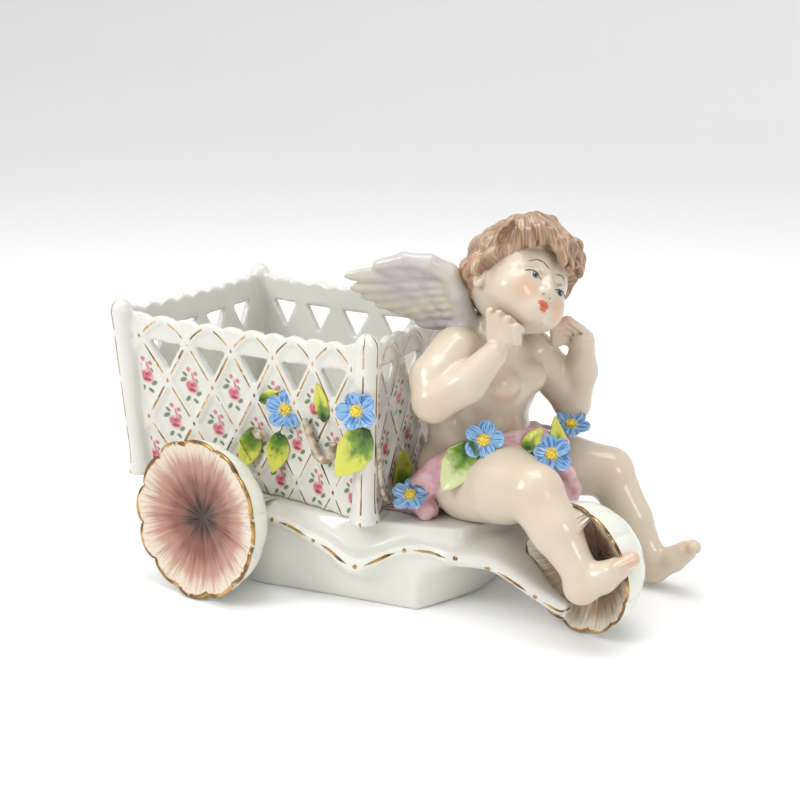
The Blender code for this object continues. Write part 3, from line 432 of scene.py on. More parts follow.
bar(face, [(18.9, -2.4, -14.1), (19.2, 0, -13.9), (18.9, 2.4, -14.1)], [0.25, 0.4, 0.25], 0.6, True)

# %% [markdown]
# The hair is a cap cut to a hairline, with short locks over it, and a fringe that is combed
# forward from the parting. Waves that run out from the parting press strands into it.

# %% Hair
SKULL = np.array((3.0, 0.0, 3.5))
CROWN = np.array((-0.28, 0.0, 0.96))
TEMPLE = np.array((0.46, -0.74, 0.485))
PARTING = np.array((0.36, -0.58, 0.73))
STRANDS = 26
FRINGE_ENDS = ((14.5, -15.5, 3.6), (16.8, -13.2, 2.4), (18.2, -10.4, 4.6), (18.4, -7.4, 8.4),
               (20.3, -4.2, 5.5), (21.5, -0.2, 0.8), (21.1, 4.0, 0.9), (19.1, 8.0, 5.6), (15.0, 13.0, 5.0))
hair = Clay(head_low, head_high, HEAD_STEP)
ball(hair, (1.8, 0, 4.8), (22.8, 21.9, 22.2))


def skull_spot(around, height, reach):
    direction = (math.cos(height) * math.cos(around), math.cos(height) * math.sin(around),
                 math.sin(height))
    return SKULL + np.array(direction) * reach


for ring, (tilt, count) in enumerate(((62, 9), (38, 14), (14, 16), (-10, 16), (-32, 12))):
    for number in range(count):
        around = 2 * math.pi * (number + 0.5 * (ring % 2)) / count
        height = math.radians(tilt + 4 * math.sin(3 * around + ring))
        if math.cos(around) > 0.55 or (math.sin(around) > 0.2 and math.cos(around) > -0.5):
            continue
        place = skull_spot(around, height, 21.4 + 0.8 * math.sin(2.3 * number + ring))
        sideways = turned("Z", math.degrees(around + 0.5 * math.sin(number * 1.7)))
        twist = sideways @ turned("Y", -math.degrees(height))
        ball(hair, place, (3.4, 4.4, 5.4), twist, 1.2)

# %% [markdown]
# A slanting plane is the hairline at the sides, higher on the left, and a nearly level one is
# the hairline at the nape. The face is cut out before the fringe is laid over the forehead, and
# a last cut shapes the hair at the near temple.

# %% Hairline and fringe
everywhere, places = hair.window(head_low, head_high)
HAIRLINE_SLOPE, HAIRLINE_TILT, NAPE_HEIGHT, NAPE_SLOPE = 0.62, 0.26, 5.5, 0.1
hairline = (places[..., 2] + 0.6 - HAIRLINE_SLOPE * places[..., 0] - HAIRLINE_TILT * places[..., 1]) / 1.20
nape_line = places[..., 2] + NAPE_HEIGHT - NAPE_SLOPE * places[..., 0]
hair.carve(everywhere, hairline, 1.0)
hair.carve(everywhere, nape_line, 1.0)
ball(hair, (24, 0, -1), (17, 19.0, 12.0), soft=1.0, cut_away=True)
for number, end in enumerate(FRINGE_ENDS):
    start = TEMPLE + (CROWN - TEMPLE) * 0.11 * number
    end = np.array(end) / np.linalg.norm(end)
    lock = []
    for share, reach in ((0.0, 22.0), (0.35, 23.2), (0.7, 22.8), (1.0, 21.2)):
        direction = start + (end - start) * share
        lock.append(SKULL + direction * reach / np.linalg.norm(direction))
    bar(hair, lock, [2.6, 3.1, 2.9, 1.9], 0.9)
bar(hair, [(13.6, -18.6, 12.5), (14.4, -20.0, 6.5), (16.0, -19.5, 0.0)], [2.4, 4.2, 6.0], 1.0, True)


def strand_place(points):
    """The way round the parting and the way down from it, for each point."""
    side_axis = np.cross(PARTING, (1.0, 0.0, 0.0))
    side_axis /= np.linalg.norm(side_axis)
    front_axis = np.cross(side_axis, PARTING)
    offset = points - SKULL
    offset = offset / np.maximum(np.linalg.norm(offset, axis=-1, keepdims=True), 1e-6)
    return np.arctan2(offset @ side_axis,
                      offset @ front_axis), np.arccos(np.clip(offset @ PARTING, -1, 1))


around, down = strand_place(places)
wave = np.sin(STRANDS * around + 2.2 * np.sin(4.5 * down + 1.5 * np.sin(3 * around)))
hair.field += 0.20 * wave * np.clip(down * 1.5, 0, 1) + 0.25 * np.sin(9 * around + 1.5 * np.sin(5 * down))
whole_head = Clay(head_low, head_high, HEAD_STEP)
whole_head.field[:] = face.field
whole_head.blend(everywhere, hair.field, 0.5)
head_points, head_quads = clay_surface(whole_head)
print("the head has", len(head_quads), "faces")

# %% [markdown]
# ## From points to pieces
# A piece takes its points in the drawing frame. Before it is made, its points are moved out of the
# solids that it beds on, so that neighbours touch without crossing.

# %% Making a piece
LUTING_GAP = 0.0002
pieces = []


def solid_tree(*names):
    """A search tree over the frame's solids with those names."""
    bm = bmesh.new()
    for name in names:
        bm.from_mesh(nodes[name].data)
    bmesh.ops.triangulate(bm, faces=bm.faces)
    tree = BVHTree.FromBMesh(bm)
    bm.free()
    return tree


def bed(points, tree, reach=0.03):
    """Points in the row frame, with those inside the tree's solids moved to their skin."""
    result = points.copy()
    for index, point in enumerate(points):
        place, normal, _, distance = tree.find_nearest(Vector(point), reach)
        if place is None:
            continue
        if (Vector(point) - place).dot(normal) < min(LUTING_GAP, distance):
            result[index] = place + normal * LUTING_GAP
    return result


def bedded(points, names):
    """Only points inside a neighbour's box can be inside the neighbour."""
    for name in names:
        low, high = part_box(name)
        near = np.all((points > np.array(low) - LUTING_GAP) & (points < np.array(high) + LUTING_GAP),
                      axis=1)
        if near.any():
            points[near] = bed(points[near], solid_tree(name))
    return points


def in_row(points):
    return np.array(points) * MM + np.array(SHIFT)


def make_mesh(name, points, faces):
    mesh = bpy.data.meshes.new(name)
    mesh.from_pydata(points.tolist(), [], faces.tolist() if isinstance(faces, np.ndarray) else faces)
    mesh.update()
    mesh.shade_smooth()
    return mesh


def set_attribute(mesh, name, values):
    values = np.asarray(values, float)
    kind, field = ("FLOAT", "value") if values.ndim == 1 else ("FLOAT_VECTOR", "vector")
    layer = mesh.attributes.new(name, kind, "POINT")
    layer.data.foreach_set(field, values.ravel())


def place_piece(name, mesh, node, material):
    item = bpy.data.objects.new(name, mesh)
    bpy.context.scene.collection.objects.link(item)
    if material is not None:
        mesh.materials.clear()
        mesh.materials.append(material)
    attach(item, "root")
    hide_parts(node)
    pieces.append(item)
    return item


# %% [markdown]
# ## The lattice basket
# Each wall is worked out in its own terms: how far along it a point is, how high, and how deep
# behind the outer face. Ribs and arches stand proud of the panels, and the cells under the rim
# are cut right through.

# %% A wall's own measures
SAGS, DIPS, COLUMNS = (8.0, 6.0, 5.0, 4.0), (3.5, 1.5, 0.8, 0.0), (6, 5, 6, 5)
COLUMN_SKEW, RIM_BAND, LATTICE_STEP = 0.018, 10.0, 18.0
RIB_WIDTH, RIB_RELIEF, LOBE_DEPTH = 4.4, 1.1, 1.8
POST_RADIUS, POST_RISE = 4.8, 2.2
LATTICE_TOP = BASKET_RIM - RIM_BAND
ARCH_HEIGHT = 0.46


def wall_place(side, points):
    flip = 1 if side < 2 else -1
    x, y, z = (points[..., 0] - BASKET_CENTRE) * flip, points[..., 1] * flip, points[..., 2]
    share = (z - BASKET_FLOOR) / BASKET_HEIGHT
    half_length = BASKET_LENGTH / 2 - BASKET_TAPER * (1 - share)
    half_width = BASKET_WIDTH / 2 - 0.75 * BASKET_TAPER * (1 - share)
    half, along = (half_length, x) if side % 2 == 0 else (half_width, y)
    along = (along / half + 1) / 2
    bow = np.clip(4 * along * (1 - along), 0, 1)
    depth = y + half_width - SAGS[side] * bow if side % 2 == 0 else half_length - SAGS[side] * bow - x
    height = z + DIPS[side] * bow * np.sqrt(np.maximum(share, 0))
    return along, height, depth, 2 * half


def wall_point(side, along, height, out=0.0):
    share = (height - BASKET_FLOOR) / BASKET_HEIGHT
    half_length = BASKET_LENGTH / 2 - BASKET_TAPER * (1 - share)
    half_width = BASKET_WIDTH / 2 - 0.75 * BASKET_TAPER * (1 - share)
    bow = 4 * along * (1 - along)
    z = height - DIPS[side] * bow * max(0.0, share) ** 0.5
    if side % 2 == 0:
        x, y = -half_length + 2 * half_length * along, -half_width + SAGS[side] * bow - out
    else:
        x, y = half_length - SAGS[side] * bow + out, -half_width + 2 * half_width * along
    flip = 1 if side < 2 else -1
    return np.array((BASKET_CENTRE + flip * x, flip * y, z))


def lattice_place(side, points):
    """Column and row on the lattice, with the size of a column in millimetres."""
    along, height, depth, length = wall_place(side, points)
    column = (along - COLUMN_SKEW * np.sin(math.pi * along)) * COLUMNS[side]
    return column, (LATTICE_TOP - height) / LATTICE_STEP, depth, length / COLUMNS[side]


# %% [markdown]
# The ribs are two families of slanting lines. Over the top crossings they turn into arches.

# %% Ribs, arches and holes


def rib_distance(column, row_down, pitch):
    lean = LATTICE_STEP / np.hypot(LATTICE_STEP, pitch / 2)
    falling, rising = column - 0.5 + row_down / 2, column - 0.5 - row_down / 2
    nearest = np.minimum(abs(falling - np.round(falling)), abs(rising - np.round(rising)))
    rib = nearest * pitch * lean
    off = 2 * abs(column - np.round(column))
    arch = -ARCH_HEIGHT * (1 - off ** 1.6)
    slope = ARCH_HEIGHT * 1.6 * 2 * off ** 0.6 * LATTICE_STEP / pitch
    loop = abs(row_down - arch) * LATTICE_STEP / np.sqrt(1 + slope ** 2)
    return np.where(row_down > 0, rib, loop)


def hole_distance(column, row_down, pitch, middle):
    lean = LATTICE_STEP / np.hypot(LATTICE_STEP, pitch / 2)
    room = ((0.5 - row_down / 2) - abs(column - middle)) * pitch * lean
    return np.maximum(RIB_WIDTH * 0.5 - room, RIB_WIDTH * 0.35 - row_down * LATTICE_STEP)


basket_low, basket_high = (-116, -57, 31), (22, 57, 114)
basket = Clay(basket_low, basket_high, 1.0)
everywhere, grid = basket.window(basket_low, basket_high)
least_depth = np.full(basket.field.shape, 99.0)
for side in range(4):
    column, row_down, depth, pitch = lattice_place(side, grid)
    rib = rib_distance(column, row_down, pitch)
    proud = np.sqrt(np.clip(1 - (rib / (RIB_WIDTH / 2)) ** 2, 0, 1))
    groove = 0.25 * np.exp(-(rib / 0.45) ** 2)
    outer = RIB_RELIEF * (1 - proud) + groove - depth
    wall = np.maximum(outer, depth - BASKET_WALL)
    crest = BASKET_RIM - LOBE_DEPTH * (1 - abs(np.cos(2 * math.pi * column)) ** 0.7)
    over = (LATTICE_TOP - row_down * LATTICE_STEP) - crest
    beyond = (abs(column / COLUMNS[side] - 0.5) - 0.5) * pitch * COLUMNS[side]
    wall = np.maximum(np.maximum(wall, beyond), over * 0.8)
    for middle in range(1, COLUMNS[side]):
        hole = np.maximum(hole_distance(column, row_down, pitch, middle), abs(depth - 2) - 4)
        wall = np.maximum(wall, -hole)
    basket.blend(everywhere, wall, 0.6)
    least_depth = np.minimum(least_depth, depth)
floor_slab = np.maximum(abs(grid[..., 2] - BASKET_FLOOR - 2) - 2, -least_depth + 1)
basket.blend(everywhere, floor_slab, 1.5)
corners = []
for side in range(4):
    foot, head_end = wall_point(side, 0, BASKET_FLOOR), wall_point(side, 0, BASKET_RIM)
    inward = np.array((BASKET_CENTRE, 0, 0)) - head_end
    inward = inward * (1, 1, 0) / np.linalg.norm(inward[:2])
    chain = []
    for share in (-0.06, 0.02, 0.12, 0.96, 0.99):
        centre = foot + (head_end - foot) * share + inward * 0.85 * POST_RADIUS
        centre[2] = BASKET_FLOOR + share * (BASKET_HEIGHT + POST_RISE)
        chain.append(centre)
    bar(basket, chain, [5.5, 6.0, 4.8, 4.8, 2.6], 0.8)
    corners.append((chain[1], chain[4], -inward))
basket.field[everywhere] = np.maximum(basket.field, BASKET_FLOOR - grid[..., 2])
basket_points, basket_quads = clay_surface(basket)
basket_points = relax(basket_points, basket_quads, 1, 0.4)
print("the basket has", len(basket_quads), "faces")

# %% [markdown]
# The painter needs to know where each point is on the lattice and on the corner mouldings.

# %% The basket's marks


def lattice_marks(points):
    best = np.full(len(points), 99.0)
    marks = np.zeros((len(points), 3))
    for side in range(4):
        column, row_down, depth, _ = lattice_place(side, points)
        off = abs(depth - 1) + 9 * np.maximum(0, abs(column / COLUMNS[side] - 0.5) - 0.5)
        closer = off < best
        best = np.where(closer, off, best)
        marks[closer] = np.stack((column + 10 * side, row_down, depth), 1)[closer]
    return marks


def post_marks(points):
    """How far each point is from the nearest moulding's axis, and which way round it."""
    reach, angle = np.full(len(points), 99.0), np.zeros(len(points))
    for foot, top, outward in corners:
        share = np.clip((points[:, 2] - foot[2]) / (top[2] - foot[2]), 0, 1)
        offset = points - (foot + share[:, None] * (top - foot))
        distance = np.hypot(offset[:, 0], offset[:, 1])
        turn = np.arctan2(offset[:, 1] * outward[0] - offset[:, 0] * outward[1],
                          offset[:, 0] * outward[0] + offset[:, 1] * outward[1])
        closer = distance < reach
        reach, angle = np.where(closer, distance, reach), np.where(closer, turn, angle)
    return reach, angle


# %% [markdown]
# ## The scrolled base
# The chassis is a stack of outlines, from the plinth up to the platform, with a wavy roll half way.
# Curves are run through the outlines in both directions, and the tongue is melted on.

# %% Outlines of the base
BASE_REAR, BASE_LENGTH, BASE_WIDTH = -78.0, 136.0, 110.0
BASE_FRONT = BASE_REAR + BASE_LENGTH
ROLL_THICKNESS, TONGUE_LENGTH, TONGUE_THICKNESS = 5.0, 40.0, 9.0
PLINTH_HALF = (
    (0.00, 0.00), (0.00, 0.54), (0.05, 0.86), (0.28, 0.98), (0.42, 0.93), (0.49, 0.90), (0.56, 0.87),
    (0.66, 0.83), (0.75, 0.80), (0.79, 0.78), (0.82, 0.76), (0.87, 0.49), (0.905, 0.26), (0.91, 0.00))
ROLL_HALF = (
    (-0.03, 0.00), (-0.03, 0.60), (0.02, 0.95), (0.28, 1.00), (0.42, 1.00), (0.49, 1.00), (0.56, 1.00),
    (0.66, 1.00), (0.75, 0.87), (0.79, 0.82), (0.86, 0.76), (0.93, 0.73), (0.99, 0.40), (1.00, 0.00))
PLATFORM_HALF = (
    (-0.01, 0.00), (-0.01, 0.52), (0.03, 0.77), (0.28, 0.81), (0.42, 0.81), (0.49, 0.81), (0.56, 0.80),
    (0.66, 0.76), (0.75, 0.69), (0.79, 0.66), (0.86, 0.62), (0.92, 0.54), (0.96, 0.28), (0.97, 0.00))
ROLL_WAVE = (0.88, 0.88, 0.90, 0.94, 0.91, 0.82, 0.73, 0.56, 0.73, 0.79, 0.79, 0.76, 0.79, 0.79)
TONGUE_SECTIONS = (
    (-0.25, -0.73, 0.66, 0.82, 1.00), (-0.02, -0.69, 0.50, 0.85, 1.05), (0.12, -0.66, 0.10, 0.82, 1.00),
    (0.22, -0.65, -0.15, 0.77, 0.95), (0.33, -0.64, -0.30, 0.70, 0.90), (0.50, -0.62, -0.38, 0.58, 0.85),
    (0.66, -0.60, -0.45, 0.47, 0.78), (0.80, -0.60, -0.49, 0.40, 0.66), (0.87, -0.59, -0.52, 0.37, 0.40))


def curve_through(points, steps, closed):
    """Points on a smooth curve that passes through the given ones."""
    points = np.array(points, float)
    if not closed:
        points = np.concatenate(([2 * points[0] - points[1]], points, [2 * points[-1] - points[-2]]))
    count = len(points) if closed else len(points) - 3
    first = 0 if closed else 1
    result = []
    for index in range(first, first + count):
        before, start = points[index - 1], points[index]
        end, after = points[(index + 1) % len(points)], points[(index + 2) % len(points)]
        for t in np.arange(steps) / steps:
            bend = (2 * before - 5 * start + 4 * end - after) * t * t
            twist = (3 * start - before - 3 * end + after) * t ** 3
            result.append(0.5 * (2 * start + (end - before) * t + bend + twist))
    if not closed:
        result.append(points[-2])
    return np.array(result)


def outline(half, heights, steps=7):
    right = [(BASE_REAR + along * BASE_LENGTH, -across * BASE_WIDTH / 2, height)
             for (along, across), height in zip(half, heights)]
    left = [(x, -y, z) for x, y, z in reversed(right[1:-1])]
    return curve_through(right + left, steps, True)


def loft_faces(rings, count):
    faces = []
    for ring in range(rings - 1):
        for index in range(count):
            after = (index + 1) % count
            faces.append((ring * count + index, ring * count + after,
                          (ring + 1) * count + after, (ring + 1) * count + index))
    faces.append(tuple(range(count - 1, -1, -1)))
    faces.append(tuple(range((rings - 1) * count, rings * count)))
    return faces


# %% [markdown]
# Eight levels make the chassis. The tongue is a chain of rounded sections.

# %% Base shape
levels = len(ROLL_HALF)
plinth = outline(PLINTH_HALF, [0.0] * levels)
roll = outline(ROLL_HALF, [share * PLATFORM_HEIGHT for share in ROLL_WAVE])
platform = outline(PLATFORM_HALF, [PLATFORM_HEIGHT] * levels)
inward = platform - roll
inward /= np.linalg.norm(inward, axis=1, keepdims=True)
down = np.array((0, 0, ROLL_THICKNESS))
waist = plinth + (roll - plinth) * (0.33, 0.33, 0.55)
hollow = roll + (platform - roll) * 0.6
hollow[:, 2] -= 0.28 * (platform - roll)[:, 2]
stack = [plinth, plinth + (roll - plinth) * 0.10, waist, roll - down + inward * 0.3 * ROLL_THICKNESS,
         roll - down / 2, roll + (platform - roll) * 0.12, hollow, platform]
columns = [curve_through([level[index] for level in stack], 5, False) for index in range(len(plinth))]
chassis = np.stack(columns, 1)

sections = []
for along, right, left, top, share in TONGUE_SECTIONS:
    half_width, half_depth = (left - right) / 2 * BASE_WIDTH / 2, share * TONGUE_THICKNESS / 2
    middle = ((right + left) / 2 * BASE_WIDTH / 2, top * PLATFORM_HEIGHT - half_depth)
    angles = 2 * math.pi * np.arange(40) / 40
    rounded = [np.sign(wave) * abs(wave) ** 0.6 for wave in (np.cos(angles), np.sin(angles))]
    sections.append(np.stack((np.full(40, BASE_FRONT + along * TONGUE_LENGTH),
                              middle[0] + half_width * rounded[0], middle[1] + half_depth * rounded[1]),
                              1))
tongue_columns = [curve_through([section[index] for section in sections], 5,
                                False) for index in range(40)]
tongue = np.stack(tongue_columns, 1)


def melt(name, parts, size, rounds):
    """Joins closed shells into one skin and softens it."""
    points, faces, start = [], [], 0
    for shell in parts:
        points.append(shell.reshape(-1, 3))
        faces += [tuple(start + index for index in face) for face in loft_faces(*shell.shape[:2])]
        start += len(points[-1])
    mesh = bpy.data.meshes.new(name)
    mesh.from_pydata((np.concatenate(points) * MM).tolist(), [], faces)
    item = bpy.data.objects.new(name, mesh)
    bpy.context.scene.collection.objects.link(item)
    skin = item.modifiers.new("Skin", "REMESH")
    skin.mode, skin.voxel_size = "VOXEL", size * MM
    soften = item.modifiers.new("Soften", "SMOOTH")
    soften.factor, soften.iterations = 0.5, rounds
    bpy.context.view_layer.update()
    made = bpy.data.meshes.new_from_object(item.evaluated_get(bpy.context.evaluated_depsgraph_get()))
    bpy.data.objects.remove(item, do_unlink=True)
    places = np.zeros(len(made.vertices) * 3)
    made.vertices.foreach_get("co", places)
    loops = np.zeros(len(made.polygons) * 4, int)
    made.polygons.foreach_get("vertices", loops)
    return places.reshape(-1, 3) / MM, loops.reshape(-1, 4)


base_points, base_quads = melt("base", [chassis, tongue], 0.85, 5)
base_points[:, 2] = np.clip(base_points[:, 2], 0.0, PLATFORM_HEIGHT)
print("the base has", len(base_quads), "faces")

# %% [markdown]
# Gold is painted along the roll and down the tongue's edge. The line's course is kept, so each
# point of the base knows how far along the line it is and how far above or below.

# %% The base's gold line
edge = (stack[4] + stack[5]) / 2
right_edge = edge[:len(edge) // 2 + 1]
right_edge = right_edge[right_edge[:, 0] < BASE_FRONT - 4]
tongue_edge = tongue[8:, 22] + (0, 0, 1.0)
gold_course = np.concatenate((right_edge, tongue_edge))


def course_marks(points, course):
    """Distance along the course, height over it, and gap to it."""
    start, step = course[:-1], np.diff(course, axis=0)
    length = np.linalg.norm(step, axis=1)
    run = np.concatenate(([0], np.cumsum(length)))
    marks = np.tile((0.0, 99.0, 99.0), (len(points), 1))
    for index in range(len(start)):
        offset = points - start[index]
        near = np.where(np.linalg.norm(offset, axis=1) < length[index] + 8)[0]
        share = np.clip(offset[near] @ step[index] / length[index] ** 2, 0, 1)
        away = offset[near] - share[:, None] * step[index]
        gap = np.linalg.norm(away, axis=1)
        closer = gap < marks[near, 2]
        rows = near[closer]
        marks[rows] = np.stack((run[index] + share * length[index], away[:, 2], gap), 1)[closer]
    return marks


# %% [markdown]
# ## The flower wheels
# A wheel is a trumpet flower: a fluted cup in front, a rolled lip, and a smooth dome behind. Each
# fold gets its own depth and lean, so the petals aren't all alike.

# %% A wheel's rings
WHEEL_LOBES, WHEEL_LIP, WHEEL_LIFT = 12, 1.6, 0.4
FINE_SEGMENTS = 20 * WHEEL_LOBES


def make_wheel(radius, dome, cup, taper, facing, centre, seed):
    """Points in the drawing frame, faces, and marks: way round, share of the radius, front or back."""
    chance = np.random.default_rng(seed)
    angle = 2 * math.pi * np.arange(FINE_SEGMENTS) / FINE_SEGMENTS
    lobe = abs(np.cos(WHEEL_LOBES * angle / 2)) ** 0.6
    number = np.floor(WHEEL_LOBES * angle / (2 * math.pi) + 0.5).astype(int) % WHEEL_LOBES
    lift = chance.uniform(-1, 1, WHEEL_LOBES)[number] * lobe
    fold = np.zeros(FINE_SEGMENTS)
    for turn in chance.uniform(0, 2 * math.pi, 14):
        away = (angle - turn + math.pi) % (2 * math.pi) - math.pi
        fold -= chance.uniform(0.4, 1.0) * np.exp(-(away / chance.uniform(0.03, 0.07)) ** 2)
    edge = 0.955 + 0.045 * lobe
    rings, marks = [], []
    for share in np.linspace(0.04, 1.0, 30):
        flute = 0.03 * radius * (lobe - 0.6) * share + 0.02 * radius * lift * share ** 2
        crease = 0.022 * radius * fold * math.sin(math.pi * min(1, share * 1.02)) ** 0.8
        height = -cup * (1 - share ** 1.3) + flute + crease
        reach = radius * share * (1 + (edge - 1) * share ** 3)
        rings.append((reach * np.ones_like(angle), height))
        marks.append((share, 1.0))
    rim = rings[-1][1]
    for step in range(1, 6):
        turn = math.pi * step / 6
        rings.append((radius * edge + 0.5 * WHEEL_LIP * math.sin(turn) * 0.4,
                      rim - WHEEL_LIP * (1 - math.cos(turn)) / 2))
        marks.append((1.0, math.cos(turn)))
    for degrees in np.linspace(2, 86, 24):
        turn = math.radians(degrees)
        ripple = 1 - (1 - edge) * math.cos(turn) ** 4
        reach = radius * ripple * math.cos(turn) ** taper
        settle = (rim - WHEEL_LIP) * max(0, 1 - degrees / 30) - WHEEL_LIP * min(1, degrees / 30)
        rings.append((reach * np.ones_like(angle), settle - dome * math.sin(turn)))
        marks.append((math.cos(turn) ** taper, -1.0))
    points = np.stack([np.stack((reach * np.cos(angle), reach * np.sin(angle),
                                 height * np.ones_like(angle)), 1)
                       for reach, height in rings])
    turn_to = np.array(Vector(facing).normalized().to_track_quat("Z", "Y").to_matrix())
    points = points.reshape(-1, 3) @ turn_to.T
    points += (centre[0], centre[1], WHEEL_LIFT - points[:, 2].min())
    around = np.tile(np.stack((np.cos(angle), np.sin(angle)), 1), (len(rings), 1))
    shares = np.repeat(np.array(marks), FINE_SEGMENTS, axis=0)
    return points, loft_faces(len(rings), FINE_SEGMENTS), around, shares


# %% [markdown]
# ## Applied flowers, leaves and twigs
# Each one is pressed on from the front right: a ray from outside finds where it meets the solids.

# %% Where trims go
FLOWER_WIDTH, FLOWER_DEPTH, LEAF_THICKNESS = 15.5, 3.0, 1.9
PRESS = np.array((-0.494, 0.822, -0.284))


def press_on(tree, target):
    origin = row(target - PRESS * 80)
    place, normal, _, _ = tree.ray_cast(origin, Vector(PRESS))
    if place is None:
        return np.array(row(target)), -PRESS
    return np.array(place), np.array(normal)


def facing_frame(normal, spin):
    turn = Vector(normal).normalized().to_track_quat("Z", "Y").to_matrix()
    return np.array(turn @ Matrix.Rotation(math.radians(spin), 3, "Z"))


def on_wall(side, along, below):
    return wall_point(side, along, BASKET_RIM - below)


def on_seat(x, y, z):
    return SEAT + np.array((x, y, z), float)


# %% [markdown]
# One petal is a small dished plate. The geometry nodes below set five of them round an eye, and
# scatter a ring of beads on the eye.

# %% A petal


def petal_mesh():
    rows, across = 12, 11
    length, width, thick = 0.53 * FLOWER_WIDTH * MM, 0.46 * FLOWER_WIDTH * MM, 0.75 * MM
    top, bottom, marks = [], [], []
    for r in range(rows):
        share = r / (rows - 1)
        half = width / 2 * (0.30 + 0.70 * math.sin(math.pi * min(1, share * 0.62 + 0.02)) ** 0.9)
        half *= math.sqrt(max(0.0, 1 - max(0, (share - 0.55) / 0.47) ** 2.4))
        for c in range(across):
            side = 2 * c / (across - 1) - 1
            notch = 0.06 * length * math.exp(-(side / 0.22) ** 2) * share ** 6
            x = length * share * (1 - 0.05 * side * side) - notch
            z = 0.35 * MM + 1.5 * MM * share ** 1.6 - 0.5 * MM * (1 - side * side) * share
            z += 0.22 * MM * math.cos(6 * side) * share
            rim = 0.35 + 0.65 * math.sqrt(max(0, 1 - max(abs(side), share ** 3) ** 4))
            top.append((x, half * side, z + thick * rim / 2))
            bottom.append((x, half * side, z - thick * rim / 2))
            marks.append((share, side, 0.0))
    points = np.array(top + bottom)
    count, faces = rows * across, []
    for r in range(rows - 1):
        for c in range(across - 1):
            a = r * across + c
            faces.append((a, a + across, a + across + 1, a + 1))
            faces.append((count + a, count + a + 1, count + a + across + 1, count + a + across))
    edge = [c for c in range(across)] + [r * across + across - 1 for r in range(1, rows)]
    edge += [(rows - 1) * across + c for c in range(across - 2, -1,
                                                    -1)] + [r * across for r in range(rows - 2, 0, -1)]
    for a, b in zip(edge, edge[1:] + edge[:1]):
        faces.append((a, b, count + b, count + a))
    mesh = bpy.data.meshes.new("petal")
    mesh.from_pydata(points.tolist(), [], faces)
    mesh.shade_smooth()
    set_attribute(mesh, "petal_place", marks + marks)
    return mesh


# %% Geometry nodes for a flower


def group_socket(tree, name, kind, value=None):
    socket = tree.interface.new_socket(name, in_out="INPUT", socket_type=kind)
    if value is not None:
        socket.default_value = value
    return socket.identifier


class Nodes:
    """A short way to write a node tree: each call adds a node, feeds it and returns an output."""

    def __init__(self, tree):
        self.tree = tree

    def add(self, kind, *feeds, out=0, named=None, **settings):
        made = self.tree.nodes.new(kind)
        for key, value in settings.items():
            setattr(made, key, value)
        pairs = list(zip(made.inputs, feeds)) + [(made.inputs[key], value) for key,
                                                 value in (named or {}).items()]
        for socket, value in pairs:
            if isinstance(value, bpy.types.NodeSocket):
                self.tree.links.new(value, socket)
            elif value is not None:
                socket.default_value = value
        return made.outputs[out]

    def math(self, operation, *feeds):
        return self.add("ShaderNodeMath", *feeds, operation=operation)

    def between(self, value, low, high):
        """0 below low and 1 above high, with a soft step; low above high turns it round."""
        return self.add("ShaderNodeMapRange", value, low, high, 0.0, 1.0, interpolation_type="SMOOTHSTEP")

    def mix(self, share, first, second):
        named = {6: first, 7: second}
        return self.add("ShaderNodeMix", share, named=named, out=2, data_type="RGBA")

    def noise(self, place, scale, detail=2.0, stretch=None):
        if stretch is not None:
            place = self.add("ShaderNodeVectorMath", place, stretch, operation="MULTIPLY")
        return self.add("ShaderNodeTexNoise", place, named={"Scale": scale, "Detail": detail})

    def layer(self, name, out=1):
        return self.add("ShaderNodeAttribute", out=out, attribute_name=name)

    def parts(self, vector):
        made = self.tree.nodes.new("ShaderNodeSeparateXYZ")
        self.tree.links.new(vector, made.inputs[0])
        return made.outputs[0], made.outputs[1], made.outputs[2]


